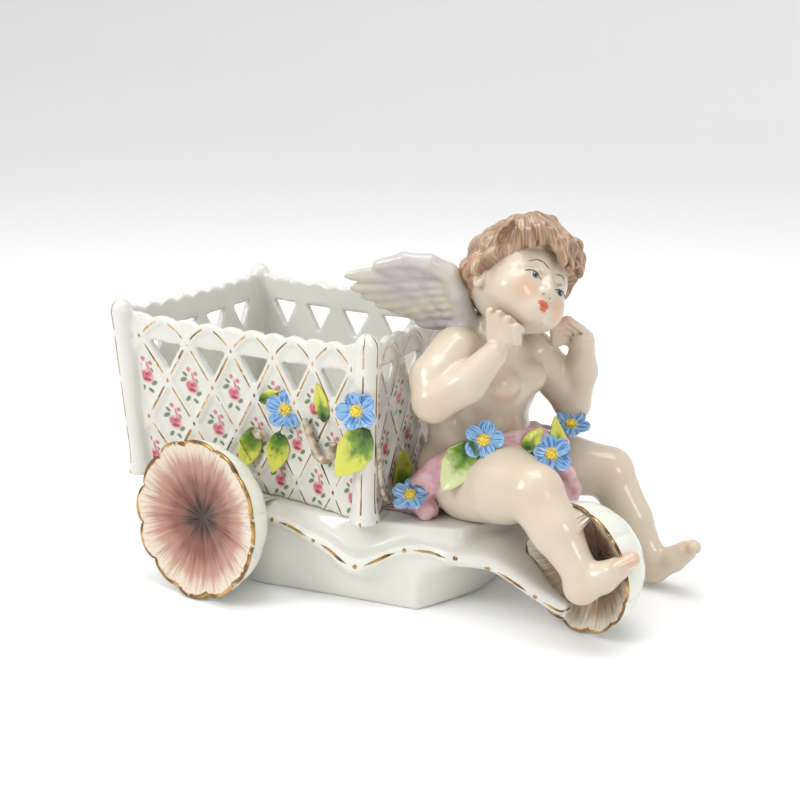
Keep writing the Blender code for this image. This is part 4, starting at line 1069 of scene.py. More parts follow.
def flower_group():
    tree = bpy.data.node_groups.new("Forget-me-not", "GeometryNodeTree")
    tree.interface.new_socket("Geometry", in_out="OUTPUT", socket_type="NodeSocketGeometry")
    names = {}
    for name, kind, value in (("Petal", "NodeSocketGeometry", None), ("Petals", "NodeSocketInt", 5),
                              ("Eye", "NodeSocketFloat", 0.0022), ("Beads", "NodeSocketInt", 9),
                              ("Seed", "NodeSocketInt", 1), ("Blue", "NodeSocketMaterial", None),
                              ("Yellow", "NodeSocketMaterial", None)):
        names[name] = group_socket(tree, name, kind, value)
    write = Nodes(tree)
    given = tree.nodes.new("NodeGroupInput").outputs
    points = write.add("GeometryNodePoints", given["Petals"])
    number = write.add("GeometryNodeInputIndex")
    turn = write.math("DIVIDE", write.math("MULTIPLY", number, 2 * math.pi), given["Petals"])
    sway = write.add("FunctionNodeRandomValue", out=1, named={2: -0.09, 3: 0.09, 8: given["Seed"]})
    tilt = write.add("FunctionNodeRandomValue", out=1, named={2: -0.16, 3: 0.10, 8: given["Seed"]})
    angles = write.add("ShaderNodeCombineXYZ", 0.0, tilt, write.math("ADD", turn, sway))
    growth = write.add("FunctionNodeRandomValue", out=1, named={2: 0.93, 3: 1.05, 8: given["Seed"]})
    petals = write.add("GeometryNodeInstanceOnPoints", points,
                       named={"Instance": given["Petal"], "Rotation": angles, "Scale": growth})
    petals = write.add("GeometryNodeSetMaterial", write.add("GeometryNodeRealizeInstances", petals),
                       named={"Material": given["Blue"]})
    dome = write.add("GeometryNodeMeshUVSphere", 20, 12, given["Eye"])
    dome = write.add("GeometryNodeTransform", dome,
                     named={"Translation": (0, 0, 0.0011), "Scale": (1, 1, 0.55)})
    ring = write.add("GeometryNodeMeshCircle", given["Beads"], write.math("MULTIPLY", given["Eye"], 0.8))
    bead = write.add("GeometryNodeMeshIcoSphere", write.math("MULTIPLY", given["Eye"], 0.30), 2)
    beads = write.add("GeometryNodeInstanceOnPoints", ring, named={"Instance": bead})
    beads = write.add("GeometryNodeTransform", beads, named={"Translation": (0, 0, 0.0019)})
    stalk = write.add("GeometryNodeMeshCone", 20, 1, 1, 0.0022, 0.0030, 0.0030)
    stalk = write.add("GeometryNodeTransform", stalk, named={"Translation": (0, 0, -0.0024)})
    eye = tree.nodes.new("GeometryNodeJoinGeometry")
    for part in (dome, beads):
        tree.links.new(part, eye.inputs[0])
    eye = write.add("GeometryNodeSetMaterial", write.add("GeometryNodeRealizeInstances", eye.outputs[0]),
                    named={"Material": given["Yellow"]})
    stalk = write.add("GeometryNodeSetMaterial", stalk, named={"Material": given["Blue"]})
    everything = tree.nodes.new("GeometryNodeJoinGeometry")
    for part in (petals, eye, stalk):
        tree.links.new(part, everything.inputs[0])
    tree.links.new(everything.outputs[0], tree.nodes.new("NodeGroupOutput").inputs[0])
    return tree, names


def grown(mesh, tree, settings):
    """The mesh that a geometry node tree makes of another mesh."""
    item = bpy.data.objects.new("seedling", mesh)
    bpy.context.scene.collection.objects.link(item)
    modifier = item.modifiers.new("Grow", "NODES")
    modifier.node_group = tree
    for identifier, value in settings.items():
        modifier[identifier] = value
    bpy.context.view_layer.update()
    made = bpy.data.meshes.new_from_object(item.evaluated_get(bpy.context.evaluated_depsgraph_get()))
    bpy.data.objects.remove(item, do_unlink=True)
    made.shade_smooth()
    return made


# %% [markdown]
# A twig is a path whose thickness wanders. The nodes turn the path into a round coil of clay.

# %% Geometry nodes for a twig


def twig_group():
    tree = bpy.data.node_groups.new("Twig", "GeometryNodeTree")
    tree.interface.new_socket("Geometry", in_out="OUTPUT", socket_type="NodeSocketGeometry")
    names = {}
    for name, kind, value in (("Path", "NodeSocketGeometry", None),
                              ("Thickness", "NodeSocketFloat", 0.001),
                              ("Bark", "NodeSocketMaterial", None)):
        names[name] = group_socket(tree, name, kind, value)
    write = Nodes(tree)
    given = tree.nodes.new("NodeGroupInput").outputs
    path = write.add("GeometryNodeMeshToCurve", given["Path"])
    wander = write.add("ShaderNodeTexNoise", named={"Scale": 260.0, "Detail": 1.0})
    thick = write.math("MULTIPLY", given["Thickness"],
                       write.math("ADD", 0.62, write.math("MULTIPLY", wander, 0.6)))
    path = write.add("GeometryNodeSetCurveRadius", path, named={"Radius": thick})
    round_section = write.add("GeometryNodeCurvePrimitiveCircle", named={"Resolution": 14, "Radius": 1.0})
    skin = write.add("GeometryNodeCurveToMesh", path,
                     named={"Profile Curve": round_section, "Scale": thick, "Fill Caps": True})
    skin = write.add("GeometryNodeSetMaterial", write.add("GeometryNodeRealizeInstances", skin),
                     named={"Material": given["Bark"]})
    tree.links.new(skin, tree.nodes.new("NodeGroupOutput").inputs[0])
    return tree, names


# %% [markdown]
# A leaf is a pointed plate with a raised midrib, side veins and a curled tip.

# %% A leaf


def leaf_mesh(length, width, seed):
    rows, across = 26, 15
    chance = np.random.default_rng(seed)
    wave, lean = chance.uniform(0.5, 1.0), chance.uniform(-0.06, 0.06)
    top, bottom, marks = [], [], []
    for r in range(rows):
        share = r / (rows - 1)
        half = max(0.02, math.sin(math.pi * share ** 0.8) ** 0.8) * width / 2
        half *= 1 + 0.035 * math.sin(24 * share)
        curl = 0.16 * length * (share - 0.4) ** 2
        for c in range(across):
            side = 2 * c / (across - 1) - 1
            vein = 0.10 * math.sin(30 * share - 9 * abs(side)) * (1 - abs(side)) * abs(side) * 4
            fold = 0.12 * width * abs(side) ** 1.3 * math.sin(math.pi * share)
            rib = 0.45 * math.exp(-(side / 0.14) ** 2)
            rim = LEAF_THICKNESS * 0.62 * math.sqrt(max(0.05, 1 - abs(side) ** 6))
            rim *= 0.55 + 0.45 * math.sin(math.pi * share)
            x, y = (share - 0.5) * length, half * side + lean * length * share * share
            z = curl + fold * 0.5 + 0.15 * wave * math.sin(7 * share + 2 * side)
            top.append((x, y, z + rim / 2 - rib * 0.35 + vein * 0.5))
            bottom.append((x, y, z - rim / 2))
            marks.append((share, side, 0.0))
    count, faces = rows * across, []
    for r in range(rows - 1):
        for c in range(across - 1):
            a = r * across + c
            faces.append((a, a + across, a + across + 1, a + 1))
            faces.append((count + a, count + a + 1, count + a + across + 1, count + a + across))
    edge = list(range(across)) + [r * across + across - 1 for r in range(1, rows)]
    edge += [(rows - 1) * across + c for c in range(across - 2, -1,
                                                    -1)] + [r * across for r in range(rows - 2, 0, -1)]
    for a, b in zip(edge, edge[1:] + edge[:1]):
        faces.append((a, b, count + b, count + a))
    return np.array(top + bottom), faces, marks + marks


# %% [markdown]
# ## Paint and glaze
# Every piece shares one glaze: a slight tint where it pools, a soft sheen, and gold that is worn in
# places. It is a node group, so the effect is written once and each material feeds it.

# %% The shared glaze


def shader_group(name, inputs, outputs):
    tree = bpy.data.node_groups.new(name, "ShaderNodeTree")
    for label, kind, value in inputs:
        tree.interface.new_socket(label, in_out="INPUT", socket_type=kind).default_value = value
    for label, kind in outputs:
        tree.interface.new_socket(label, in_out="OUTPUT", socket_type=kind)
    return Nodes(tree), tree.nodes.new("NodeGroupInput").outputs, tree.nodes.new("NodeGroupOutput").inputs


def glaze_group():
    write, given, taken = shader_group(
        "Glaze", [("Colour", "NodeSocketColor", (0.8, 0.8, 0.8, 1)), ("Gold", "NodeSocketFloat", 0.0),
                  ("Raised", "NodeSocketFloat", 0.0)],
        [("Colour", "NodeSocketColor"), ("Roughness", "NodeSocketFloat"), ("Metallic", "NodeSocketFloat"),
         ("Normal", "NodeSocketVector")])
    place = write.add("ShaderNodeTexCoord", out=3)
    patch = write.noise(place, 320.0, 3.0)
    gold = write.math("MULTIPLY", given["Gold"], write.between(patch, 0.30, 0.40))
    tone = write.mix(write.between(write.noise(place, 130.0), 0.38, 0.62), GOLD_DARK, GOLD_BRIGHT)
    pooled = write.add("ShaderNodeMix", write.between(write.noise(place, 28.0, 3.0), 0.35, 0.75),
                       named={6: (1, 1, 1, 1), 7: (0.955, 0.965, 0.94, 1)}, out=2, data_type="RGBA")
    tinted = write.add("ShaderNodeMix", 1.0, named={6: given["Colour"], 7: pooled}, out=2,
                       data_type="RGBA",
                       blend_type="MULTIPLY")
    colour = write.mix(gold, tinted, tone)
    rough = write.math("ADD", 0.09, write.math("MULTIPLY", write.noise(place, 90.0), 0.10))
    rough = write.math("ADD", rough, write.math("MULTIPLY", gold, 0.10))
    height = write.math("ADD", given["Raised"], write.math("MULTIPLY", gold, 0.35))
    height = write.math("ADD", height, write.math("MULTIPLY", write.noise(place, 45.0, 1.0), 0.9))
    normal = write.add("ShaderNodeBump", named={"Strength": 0.30, "Distance": 0.0003, "Height": height})
    for name, socket in (("Colour", colour), ("Roughness", rough), ("Normal", normal),
                         ("Metallic", write.math("MULTIPLY", gold, 0.85))):
        write.tree.links.new(socket, taken[name])
    return write.tree


GOLD_DARK, GOLD_BRIGHT = (0.19, 0.10, 0.035, 1), (0.56, 0.35, 0.12, 1)
GLAZE = glaze_group()


def glazed(name, paint):
    """A glazed material; paint(nodes) gives its colour, its gold and its raised lines."""
    material = bpy.data.materials.new(name)
    material.use_nodes = True
    write = Nodes(material.node_tree)
    colour, gold, raised = paint(write)
    made = write.add("ShaderNodeGroup", colour, gold, raised, node_tree=GLAZE).node
    shader = material.node_tree.nodes["Principled BSDF"]
    for output, name in (("Colour", "Base Color"), ("Roughness", "Roughness"), ("Metallic", "Metallic"),
                         ("Normal", "Normal")):
        material.node_tree.links.new(made.outputs[output], shader.inputs[name])
    shader.inputs["IOR"].default_value = 1.5
    return material


# %% [markdown]
# A brush mark is a soft-edged oval. Eyes, brows, lips, blushes and roses are all made of them.

# %% A brush mark


def mark_group():
    write, given, taken = shader_group(
        "Brush mark", [("Place", "NodeSocketVector", (0, 0, 0)),
                       ("Middle", "NodeSocketVector", (0, 0, 0)),
                       ("Size", "NodeSocketVector", (1, 1, 1)), ("Turn", "NodeSocketFloat", 0.0),
                       ("Soft", "NodeSocketFloat", 0.2)], [("Mask", "NodeSocketFloat")])
    offset = write.add("ShaderNodeVectorMath", given["Place"], given["Middle"], operation="SUBTRACT")
    turn = write.math("MULTIPLY", given["Turn"], -1.0)
    offset = write.add("ShaderNodeVectorRotate", rotation_type="X_AXIS",
                       named={"Vector": offset, "Angle": turn})
    offset = write.add("ShaderNodeVectorMath", offset, given["Size"], operation="DIVIDE")
    reach = write.add("ShaderNodeVectorMath", offset, operation="LENGTH", out=1)
    edge = write.math("ADD", 1.0, given["Soft"])
    write.tree.links.new(write.between(reach, edge, write.math("SUBTRACT", 1.0, given["Soft"])),
                         taken["Mask"])
    return write.tree


BRUSH = mark_group()
ANY = 99.0


def brush(write, place, middle, size, turn=0.0, soft=0.2):
    """The mask of one mark; middle and size are across and up, and hold at any depth."""
    return write.add("ShaderNodeGroup", place, (0, *middle), (ANY, *size), math.radians(turn), soft,
                     node_tree=BRUSH)


def paint_marks(write, colour, place, marks):
    for middle, size, turn, soft, strength, paint in marks:
        mask = write.math("MULTIPLY", brush(write, place, middle, size, turn, soft), strength)
        colour = write.mix(mask, colour, (*paint, 1))
    return colour


# %% [markdown]
# ## The painted face
# The marks are in millimetres on the face: to the cherub's left, and up. The left eye and brow
# mirror the right ones.

# %% Face paint
FLESH = (0.62, 0.53, 0.42, 1)
DARK, UMBER, LID = (0.03, 0.025, 0.025), (0.10, 0.05, 0.035), (0.07, 0.05, 0.045)
RED, DEEP_RED, BLUSH = (0.56, 0.11, 0.04), (0.28, 0.03, 0.015), (0.68, 0.36, 0.23)
RIGHT_EYE = (
    ((-8.6, -10.2), (4.0, 3.8), 0, 0.85, 0.55, BLUSH),
    ((-7.1, -4.2), (2.6, 0.85), -8, 0.25, 1.0, (0.47, 0.48, 0.45)),
    ((-6.7, -3.9), (1.35, 1.1), 0, 0.2, 1.0, (0.07, 0.095, 0.12)),
    ((-6.7, -3.8), (0.70, 0.65), 0, 0.2, 1.0, DARK),
    # The small pale dot beside the pupil is a painted highlight, a glint on the eye.
    ((-7.3, -3.5), (0.28, 0.24), 0, 0.3, 0.8, (0.8, 0.82, 0.84)),
    ((-9.6, -3.25), (1.45, 0.30), 20, 0.35, 0.95, LID),
    ((-7.0, -2.85), (1.80, 0.36), 0, 0.35, 0.95, LID),
    ((-4.8, -3.55), (1.60, 0.28), -30, 0.35, 0.95, LID),
    ((-8.0, -1.0), (1.8, 0.16), 12, 0.5, 0.5, UMBER),
    ((-5.0, -1.1), (1.8, 0.16), -14, 0.5, 0.5, UMBER),
    ((-8.7, 1.9), (1.6, 0.22), 30, 0.35, 0.85, UMBER),
    ((-6.4, 2.75), (1.7, 0.30), 3, 0.35, 0.9, UMBER),
    ((-3.6, 2.1), (2.2, 0.28), -24, 0.35, 0.9, UMBER),
    ((-1.7, -9.9), (0.42, 0.32), 0, 0.4, 0.6, UMBER))
LIPS = (
    ((-1.15, -13.3), (1.65, 1.05), 14, 0.3, 0.95, RED),
    ((1.15, -13.3), (1.65, 1.05), -14, 0.3, 0.95, RED),
    ((0.1, -15.1), (1.8, 1.35), 0, 0.3, 0.95, RED),
    ((0.0, -14.1), (2.0, 0.28), 0, 0.5, 0.7, DEEP_RED))
FACE_MARKS = list(RIGHT_EYE) + [((-across, up), size, -turn, *rest) for (across, up), size, turn,
                                *rest in RIGHT_EYE]
FACE_MARKS += LIPS


def paint_head(write):
    place = write.layer("head_place")
    colour = paint_marks(write, FLESH, place, FACE_MARKS)
    strand = write.layer("strand")
    locks = write.noise(strand, 1.0, 3.0, (5.0, 5.0, 2.2))
    fine = write.noise(strand, 1.0, 2.0, (30.0, 30.0, 2.6))
    hair = write.mix(write.between(locks, 0.36, 0.62), (0.29, 0.18, 0.115, 1), (0.48, 0.34, 0.22, 1))
    hair = write.mix(write.math("MULTIPLY", write.between(fine, 0.53, 0.62), 0.75), hair,
                     (0.25, 0.085, 0.045, 1))
    hair = write.mix(write.math("MULTIPLY", write.between(fine, 0.44, 0.36), 0.5), hair,
                     (0.60, 0.46, 0.31, 1))
    return write.mix(write.layer("hair", 2), colour, hair), 0.0, write.math("MULTIPLY", fine, 0.6)


# %% [markdown]
# ## Flesh, cloth and wings
# Blushes lie on the joints, the cloth is pink with darker patches of painted shade for its folds, and the
# wings run from cream to lilac at the tips, with painted shade where the feathers meet.

# %% Body paint
JOINTS = (
    ((3, -37, 51), 6.5, 0.9), ((32, 28, 38), 6, 0.8), ((45, -33, 20), 8, 0.5), ((50, 32, 10), 7, 0.5),
    ((24, -22, 84), 6, 0.4), ((32, 14, 76), 6, 0.6), ((83, -35, 3), 4.5, 0.8), ((87, 28, -13), 4.5, 0.8),
    ((66, -38, -12), 5, 0.5), ((71, 28.5, -28), 5, 0.5), ((21, -7, 38), 3.5, 0.6),
    ((21, -13, 52), 4.5, 0.7),
    ((24, 4, 50), 4.5, 0.7))


def blush_at(points):
    total = np.zeros(len(points))
    for middle, reach, strength in JOINTS:
        away = np.linalg.norm(points - np.array(middle), axis=1) / reach
        total += strength * np.exp(-away ** 2)
    return np.clip(total, 0, 1)


def paint_body(write):
    place = write.add("ShaderNodeTexCoord", out=3)
    colour = write.mix(write.math("MULTIPLY", write.layer("blush", 2), 0.8), FLESH, (*BLUSH, 1))
    cloth_share, wing_share, run = write.parts(write.layer("dress"))
    # Painted shade: darker pink patches stand for the shade in the cloth's folds.
    painted_fold_shade = write.between(write.noise(place, 190.0, 2.0), 0.42, 0.66)
    pink = write.mix(write.math("MULTIPLY", painted_fold_shade, 0.8), (0.70, 0.45, 0.48, 1), (0.56, 0.26, 0.31, 1))
    colour = write.mix(cloth_share, colour, pink)
    wing = write.mix(write.between(write.noise(place, 55.0), 0.40, 0.62), (0.60, 0.57, 0.43, 1),
                     (0.55, 0.52, 0.52, 1))
    # Painted shade: dark lilac where two feathers meet, from the crease attribute; the same dark lilac
    # also deepens towards the tips.
    shadow = write.math("ADD", write.layer("crease", 2),
                        write.math("MULTIPLY", write.between(run, 0.55, 1.05), 0.25))
    patch = write.between(write.noise(place, 70.0, 2.0), 0.35, 0.65)
    shadow = write.math("MULTIPLY", shadow, write.math("ADD", 0.35, write.math("MULTIPLY", patch, 0.65)))
    wing = write.mix(write.math("MINIMUM", shadow, 0.9), wing, (0.36, 0.31, 0.38, 1))
    return write.mix(wing_share, colour, wing), 0.0, 0.0


# %% [markdown]
# ## Roses and gold on the basket
# Lattice lines are whole numbers of two slanting counts, so the cell that a point lies in is the
# pair of their whole parts. Each cell under the top row gets one small rose spray.

# %% Basket paint
WHITE = (0.70, 0.69, 0.64, 1)
ROSE, ROSE_DARK, LEAVES = (0.55, 0.12, 0.16), (0.30, 0.035, 0.06), (0.10, 0.15, 0.055)
SPRAY = (
    ((-2.9, 1.8), (1.5, 0.8), 30, 0.35, 0.9, LEAVES), ((-2.2, 4.0), (1.1, 0.6), -40, 0.35, 0.9, LEAVES),
    ((2.8, -2.8), (1.3, 0.8), 35, 0.35, 0.9, LEAVES), ((-1.6, -5.2), (1.3, 0.7), 55, 0.35, 0.9, LEAVES),
    ((1.4, -5.8), (1.2, 0.7), -35, 0.35, 0.9, LEAVES), ((2.3, 2.0), (1.0, 0.5), -60, 0.4, 0.8, LEAVES),
    ((0.9, 3.0), (0.5, 2.0), 12, 0.4, 0.8, ROSE), ((2.0, 4.6), (0.9, 0.8), 0, 0.4, 0.9, ROSE),
    ((-0.6, 5.9), (0.8, 0.9), 0, 0.4, 0.9, ROSE),
    ((0.3, -0.6), (2.5, 2.6), 0, 0.25, 0.85, (0.70, 0.30, 0.33)),
    ((-0.7, -0.2), (1.2, 1.5), 30, 0.35, 0.9, ROSE), ((1.2, 0.3), (0.9, 1.2), -30, 0.35, 0.9, ROSE),
    ((0.3, -1.8), (1.5, 0.7), 0, 0.35, 0.9, ROSE_DARK), ((0.3, 0.2), (0.5, 0.5), 0, 0.4, 0.9, ROSE_DARK))
PITCH, ROSE_SHRINK = 21.3, 0.84


def stripe(write, distance, half, soft=0.18):
    return write.between(distance, half + soft, half - soft)


def paint_basket(write):
    column, row_down, depth = write.parts(write.layer("lattice"))
    half_row = write.math("MULTIPLY", row_down, 0.5)
    middle = write.math("SUBTRACT", column, 0.5)
    falling, rising = write.math("ADD", middle, half_row), write.math("SUBTRACT", middle, half_row)
    outside = write.between(depth, 2.2, 1.4)
    lower = write.between(row_down, -0.01, 0.01)
    lines = [write.math("MULTIPLY", write.math("PINGPONG", count, 0.5), 16.0)
             for count in (falling, rising)]
    wander = write.math("MULTIPLY", write.noise(write.layer("lattice"), 1.3, 1.0), 0.9)
    ribs = [stripe(write, write.math("ABSOLUTE",
                                     write.math("SUBTRACT", line, write.math("SUBTRACT", wander, 0.45))),
                   0.36) for line in lines]
    ribs = write.math("MAXIMUM", *ribs)
    along = write.math("PINGPONG", row_down, 0.5)
    dash = write.between(along, 0.14, 0.20)
    ribs = write.math("MULTIPLY", write.math("MULTIPLY", ribs, dash), lower)
    crossing = write.add("ShaderNodeCombineXYZ", *lines, 0.0)
    dots = write.add("ShaderNodeVectorMath", crossing, operation="LENGTH", out=1)
    dots = write.math("MULTIPLY", stripe(write, dots, 0.6), write.between(row_down, -0.2, -0.1))
    off = write.math("MULTIPLY", write.math("PINGPONG", column, 0.5), 2.0)
    arch = write.math("MULTIPLY", write.math("SUBTRACT", 1.0, write.math("POWER", off, 1.6)),
                      -ARCH_HEIGHT)
    slope = write.math("MULTIPLY", write.math("POWER", off, 0.6),
                       1.6 * 2 * ARCH_HEIGHT * LATTICE_STEP / PITCH)
    steep = write.math("SQRT", write.math("ADD", 1.0, write.math("MULTIPLY", slope, slope)))
    rise = write.math("ABSOLUTE", write.math("SUBTRACT", row_down, arch))
    arch_gap = write.math("DIVIDE", write.math("MULTIPLY", rise, LATTICE_STEP), steep)
    arches = write.math("MULTIPLY", stripe(write, arch_gap, 0.36), write.between(off, 0.22, 0.30))
    arches = write.math("MULTIPLY", write.math("MULTIPLY", arches, write.between(off, 0.86, 0.78)),
                        write.math("SUBTRACT", 1.0, lower))
    reach, angle, _ = write.parts(write.layer("post"))
    post = write.between(reach, 6.6, 6.2)
    turned_off = write.math("ABSOLUTE", write.math("SUBTRACT", write.math("ABSOLUTE", angle), 0.62))
    post_lines = stripe(write, write.math("MULTIPLY", turned_off, POST_RADIUS), 0.34)
    broken = write.between(write.math("PINGPONG", write.math("MULTIPLY", row_down, 0.9), 0.5), 0.05, 0.10)
    post_lines = write.math("MULTIPLY", write.math("MULTIPLY", post_lines, broken), post)
    flat = write.math("MAXIMUM", write.math("MAXIMUM", ribs, dots), arches)
    flat = write.math("MULTIPLY", write.math("MULTIPLY", flat, outside),
                      write.math("SUBTRACT", 1.0, post))
    gold = write.math("MAXIMUM", flat, post_lines)
    cells = [write.math("FLOOR", count) for count in (falling, rising)]
    chance = write.add("ShaderNodeTexWhiteNoise", write.add("ShaderNodeCombineXYZ", *cells, 0.0),
                       noise_dimensions="3D", out=1)
    push_across, push_up, _ = write.parts(chance)
    local = [write.math("SUBTRACT", write.math("FRACT", count), 0.5) for count in (falling, rising)]
    across = write.math("MULTIPLY", write.math("ADD", *local), PITCH / 2)
    up = write.math("MULTIPLY", write.math("SUBTRACT", local[1], local[0]), LATTICE_STEP)
    across = write.math("ADD", across,
                        write.math("MULTIPLY", write.math("SUBTRACT", push_across, 0.5), 1.6))
    up = write.math("ADD", up, write.math("MULTIPLY", write.math("SUBTRACT", push_up, 0.5), 1.6))
    place = write.add("ShaderNodeCombineXYZ", 0.0, across, up)
    place = write.add("ShaderNodeVectorMath", place, (ROSE_SHRINK,) * 3, operation="MULTIPLY")
    roses = paint_marks(write, WHITE, place, SPRAY)
    lower_cells = write.between(write.math("SUBTRACT", *cells), 0.5, 0.6)
    shown = write.math("MULTIPLY", write.math("MULTIPLY", lower_cells, outside),
                       write.math("SUBTRACT", 1.0, post))
    return write.mix(shown, WHITE, roses), gold, 0.0


# %% [markdown]
# ## Base, wheels, flowers, leaves and twigs

# %% Other paints
DASH_PERIOD, DASH_LENGTH, DASH_START = 20.8, 13.5, 1.45
DOT_PLACE, DOT_RADIUS, DASH_HALF = (DASH_LENGTH + DASH_PERIOD) / 2, 0.85, 0.42


def paint_base(write):
    run, height, gap = write.parts(write.layer("course"))
    step = write.math("FLOORED_MODULO", write.math("SUBTRACT", run, DASH_START), DASH_PERIOD)
    width = write.between(write.math("ABSOLUTE", write.math("SUBTRACT", step, DASH_LENGTH / 2)),
                          DASH_LENGTH / 2, 3.0)
    width = write.math("MULTIPLY", write.math("ADD", 0.25, width), DASH_HALF)
    width = write.math("MULTIPLY", width, write.between(step, DASH_LENGTH + 0.2, DASH_LENGTH - 0.2))
    tall = write.math("ABSOLUTE", height)
    dash = write.between(write.math("SUBTRACT", tall, width), 0.12, -0.12)
    dash = write.math("MULTIPLY", dash, write.between(width, 0.02, 0.08))
    away = write.add("ShaderNodeCombineXYZ", write.math("SUBTRACT", step, DOT_PLACE), height, 0.0)
    dot = stripe(write, write.add("ShaderNodeVectorMath", away, operation="LENGTH", out=1), DOT_RADIUS)
    gold = write.math("MULTIPLY", write.math("MAXIMUM", dash, dot), write.between(gap, 3.4, 2.6))
    return WHITE, gold, 0.0


def paint_wheel(heart, middle_tone, outer_tone, pale, gilt_from):
    def paint(write):
        cosine, sine, share = write.parts(write.layer("bloom"))
        front = write.layer("front", 2)
        around = write.add("ShaderNodeCombineXYZ", cosine, sine, write.math("MULTIPLY", share, 0.12))
        streak = write.noise(around, 11.0, 3.0)
        level = write.math("ADD", share,
                           write.math("MULTIPLY", write.math("SUBTRACT", streak, 0.5), 0.42))
        colour = write.mix(write.between(level, 0.12, 0.36), (*heart, 1), (*middle_tone, 1))
        colour = write.mix(write.between(level, 0.40, 0.68), colour, (*outer_tone, 1))
        colour = write.mix(write.between(level, 0.66, 0.92), colour, (*pale, 1))
        veins = write.between(write.noise(around, 30.0, 2.0), 0.56, 0.66)
        colour = write.mix(write.math("MULTIPLY", veins, 0.35), colour, (*middle_tone, 1))
        colour = write.mix(write.between(front, 0.2, -0.2), colour, (0.74, 0.74, 0.66, 1))
        uneven = write.math("MULTIPLY", write.math("SUBTRACT", write.noise(around, 6.0, 2.0), 0.5), 0.10)
        reach = write.math("ADD", share, uneven)
        gold = write.math("MULTIPLY", write.between(reach, gilt_from, gilt_from + 0.02),
                          write.between(front, -0.7, -0.4))
        return colour, gold, write.math("MULTIPLY", streak, 0.4)
    return paint


def paint_petal(write):
    share, side, _ = write.parts(write.layer("petal_place"))
    place = write.add("ShaderNodeTexCoord", out=3)
    strokes = write.add("ShaderNodeCombineXYZ", write.math("MULTIPLY", share, 0.7),
                        write.math("MULTIPLY", side, 3.2),
                        write.math("MULTIPLY", write.parts(place)[2], 150.0))
    dark = write.between(write.noise(strokes, 1.7, 2.0), 0.47, 0.60)
    colour = write.mix(write.math("MULTIPLY", dark, 0.9), (0.26, 0.46, 0.72, 1), (0.045, 0.16, 0.42, 1))
    colour = write.mix(write.math("MULTIPLY", write.between(share, 0.80, 1.0), 0.45), colour,
                       (0.50, 0.64, 0.78, 1))
    return write.mix(write.between(share, 0.40, 0.16), colour, (0.70, 0.74, 0.68, 1)), 0.0, 0.0


def paint_eye(write):
    place = write.add("ShaderNodeTexCoord", out=3)
    speck = write.between(write.noise(place, 900.0, 1.0), 0.52, 0.62)
    return write.mix(write.math("MULTIPLY", speck, 0.6), (0.80, 0.60, 0.07, 1),
                     (0.42, 0.26, 0.05, 1)), 0.0, 0.0


def paint_leaf(tip):
    def paint(write):
        share, side, _ = write.parts(write.layer("leaf_place"))
        place = write.add("ShaderNodeTexCoord", out=3)
        blotch = write.noise(place, 330.0, 2.0)
        middle = write.math("SUBTRACT", share,
                            write.math("MULTIPLY", write.math("SUBTRACT", blotch, 0.5), 0.55))
        rim = write.math("MULTIPLY", write.math("ABSOLUTE", side), 0.30)
        level = write.math("ADD", middle, rim)
        colour = write.mix(write.between(level, 0.16, 0.48), (0.025, 0.075, 0.012, 1),
                           (0.13, 0.25, 0.025, 1))
        colour = write.mix(write.between(level, 0.42, 0.78), colour, (*tip, 1))
        return colour, 0.0, write.math("MULTIPLY", blotch, 0.5)
    return paint


def paint_twig(write):
    place = write.add("ShaderNodeTexCoord", out=3)
    shade = write.between(write.noise(place, 260.0, 2.0), 0.40, 0.62)
    return write.mix(shade, (0.62, 0.52, 0.40, 1), (0.30, 0.20, 0.13, 1)), 0.0, 0.0


head_paint = glazed("painted head", paint_head)
body_paint = glazed("painted flesh", paint_body)
basket_paint = glazed("white glaze with roses", paint_basket)
base_paint = glazed("white glaze with gold dashes", paint_base)
rear_paint = glazed("mauve flower",
                    paint_wheel((0.035, 0.013, 0.009), (0.21, 0.085, 0.058), (0.44, 0.23, 0.175),
                                                (0.70, 0.60, 0.48), 0.955))
front_paint = glazed("brown flower",
                     paint_wheel((0.05, 0.03, 0.02), (0.20, 0.11, 0.06), (0.38, 0.26, 0.17),
                                                 (0.70, 0.64, 0.52), 0.965))
blue_paint = glazed("forget-me-not blue", paint_petal)
yellow_paint = glazed("forget-me-not yellow", paint_eye)
leaf_paint = glazed("leaf green", paint_leaf((0.62, 0.62, 0.10)))
pale_leaf_paint = glazed("pale leaf green", paint_leaf((0.58, 0.62, 0.32)))
twig_paint = glazed("twig brown", paint_twig)
print(len(bpy.data.materials), "materials")

# %% [markdown]
# ## Putting the pieces in place
# The cherub is two meshes that share one solid: the body with its wings, and the head.

# %% The cherub
CARRIERS = ["base", "basket", "cherub"]
WHEELS = ["rear_wheel_right", "rear_wheel_left", "front_wheel"]
body_points = relax(body_points, body_quads, 2)
skins = [sample(whole, clay.field, body_points) for clay in (flesh, cloth, wings)]
cloth_share = np.clip(0.5 - 1.5 * (skins[1] - np.minimum(skins[0], skins[2])), 0, 1)
wing_share = np.clip(0.5 - 1.0 * (skins[2] - np.minimum(skins[0], skins[1])), 0, 1)
wing_run = np.hypot(body_points[:, 0] - WING_HINGE[0], body_points[:, 1] - WING_HINGE[1]) / 46
# The crease value marks where two feathers meet; the wings get painted shade there.
spread = np.sort([oval_distance(body_points, *plume) for plume in plumes], axis=0)
crease = 0.6 * np.exp(-((spread[1] - spread[0]) / 0.7) ** 2) * np.exp(-np.maximum(spread[0], 0) / 1.5)
body_mesh = make_mesh("cherub_body",
                      bedded(in_row(SEAT + body_points), ["base", "basket", "front_wheel"]), body_quads)
set_attribute(body_mesh, "blush", blush_at(body_points))
set_attribute(body_mesh, "dress", np.stack((cloth_share, wing_share, wing_run), 1))
set_attribute(body_mesh, "crease", crease)
place_piece("cherub_body", body_mesh, "cherub", body_paint)

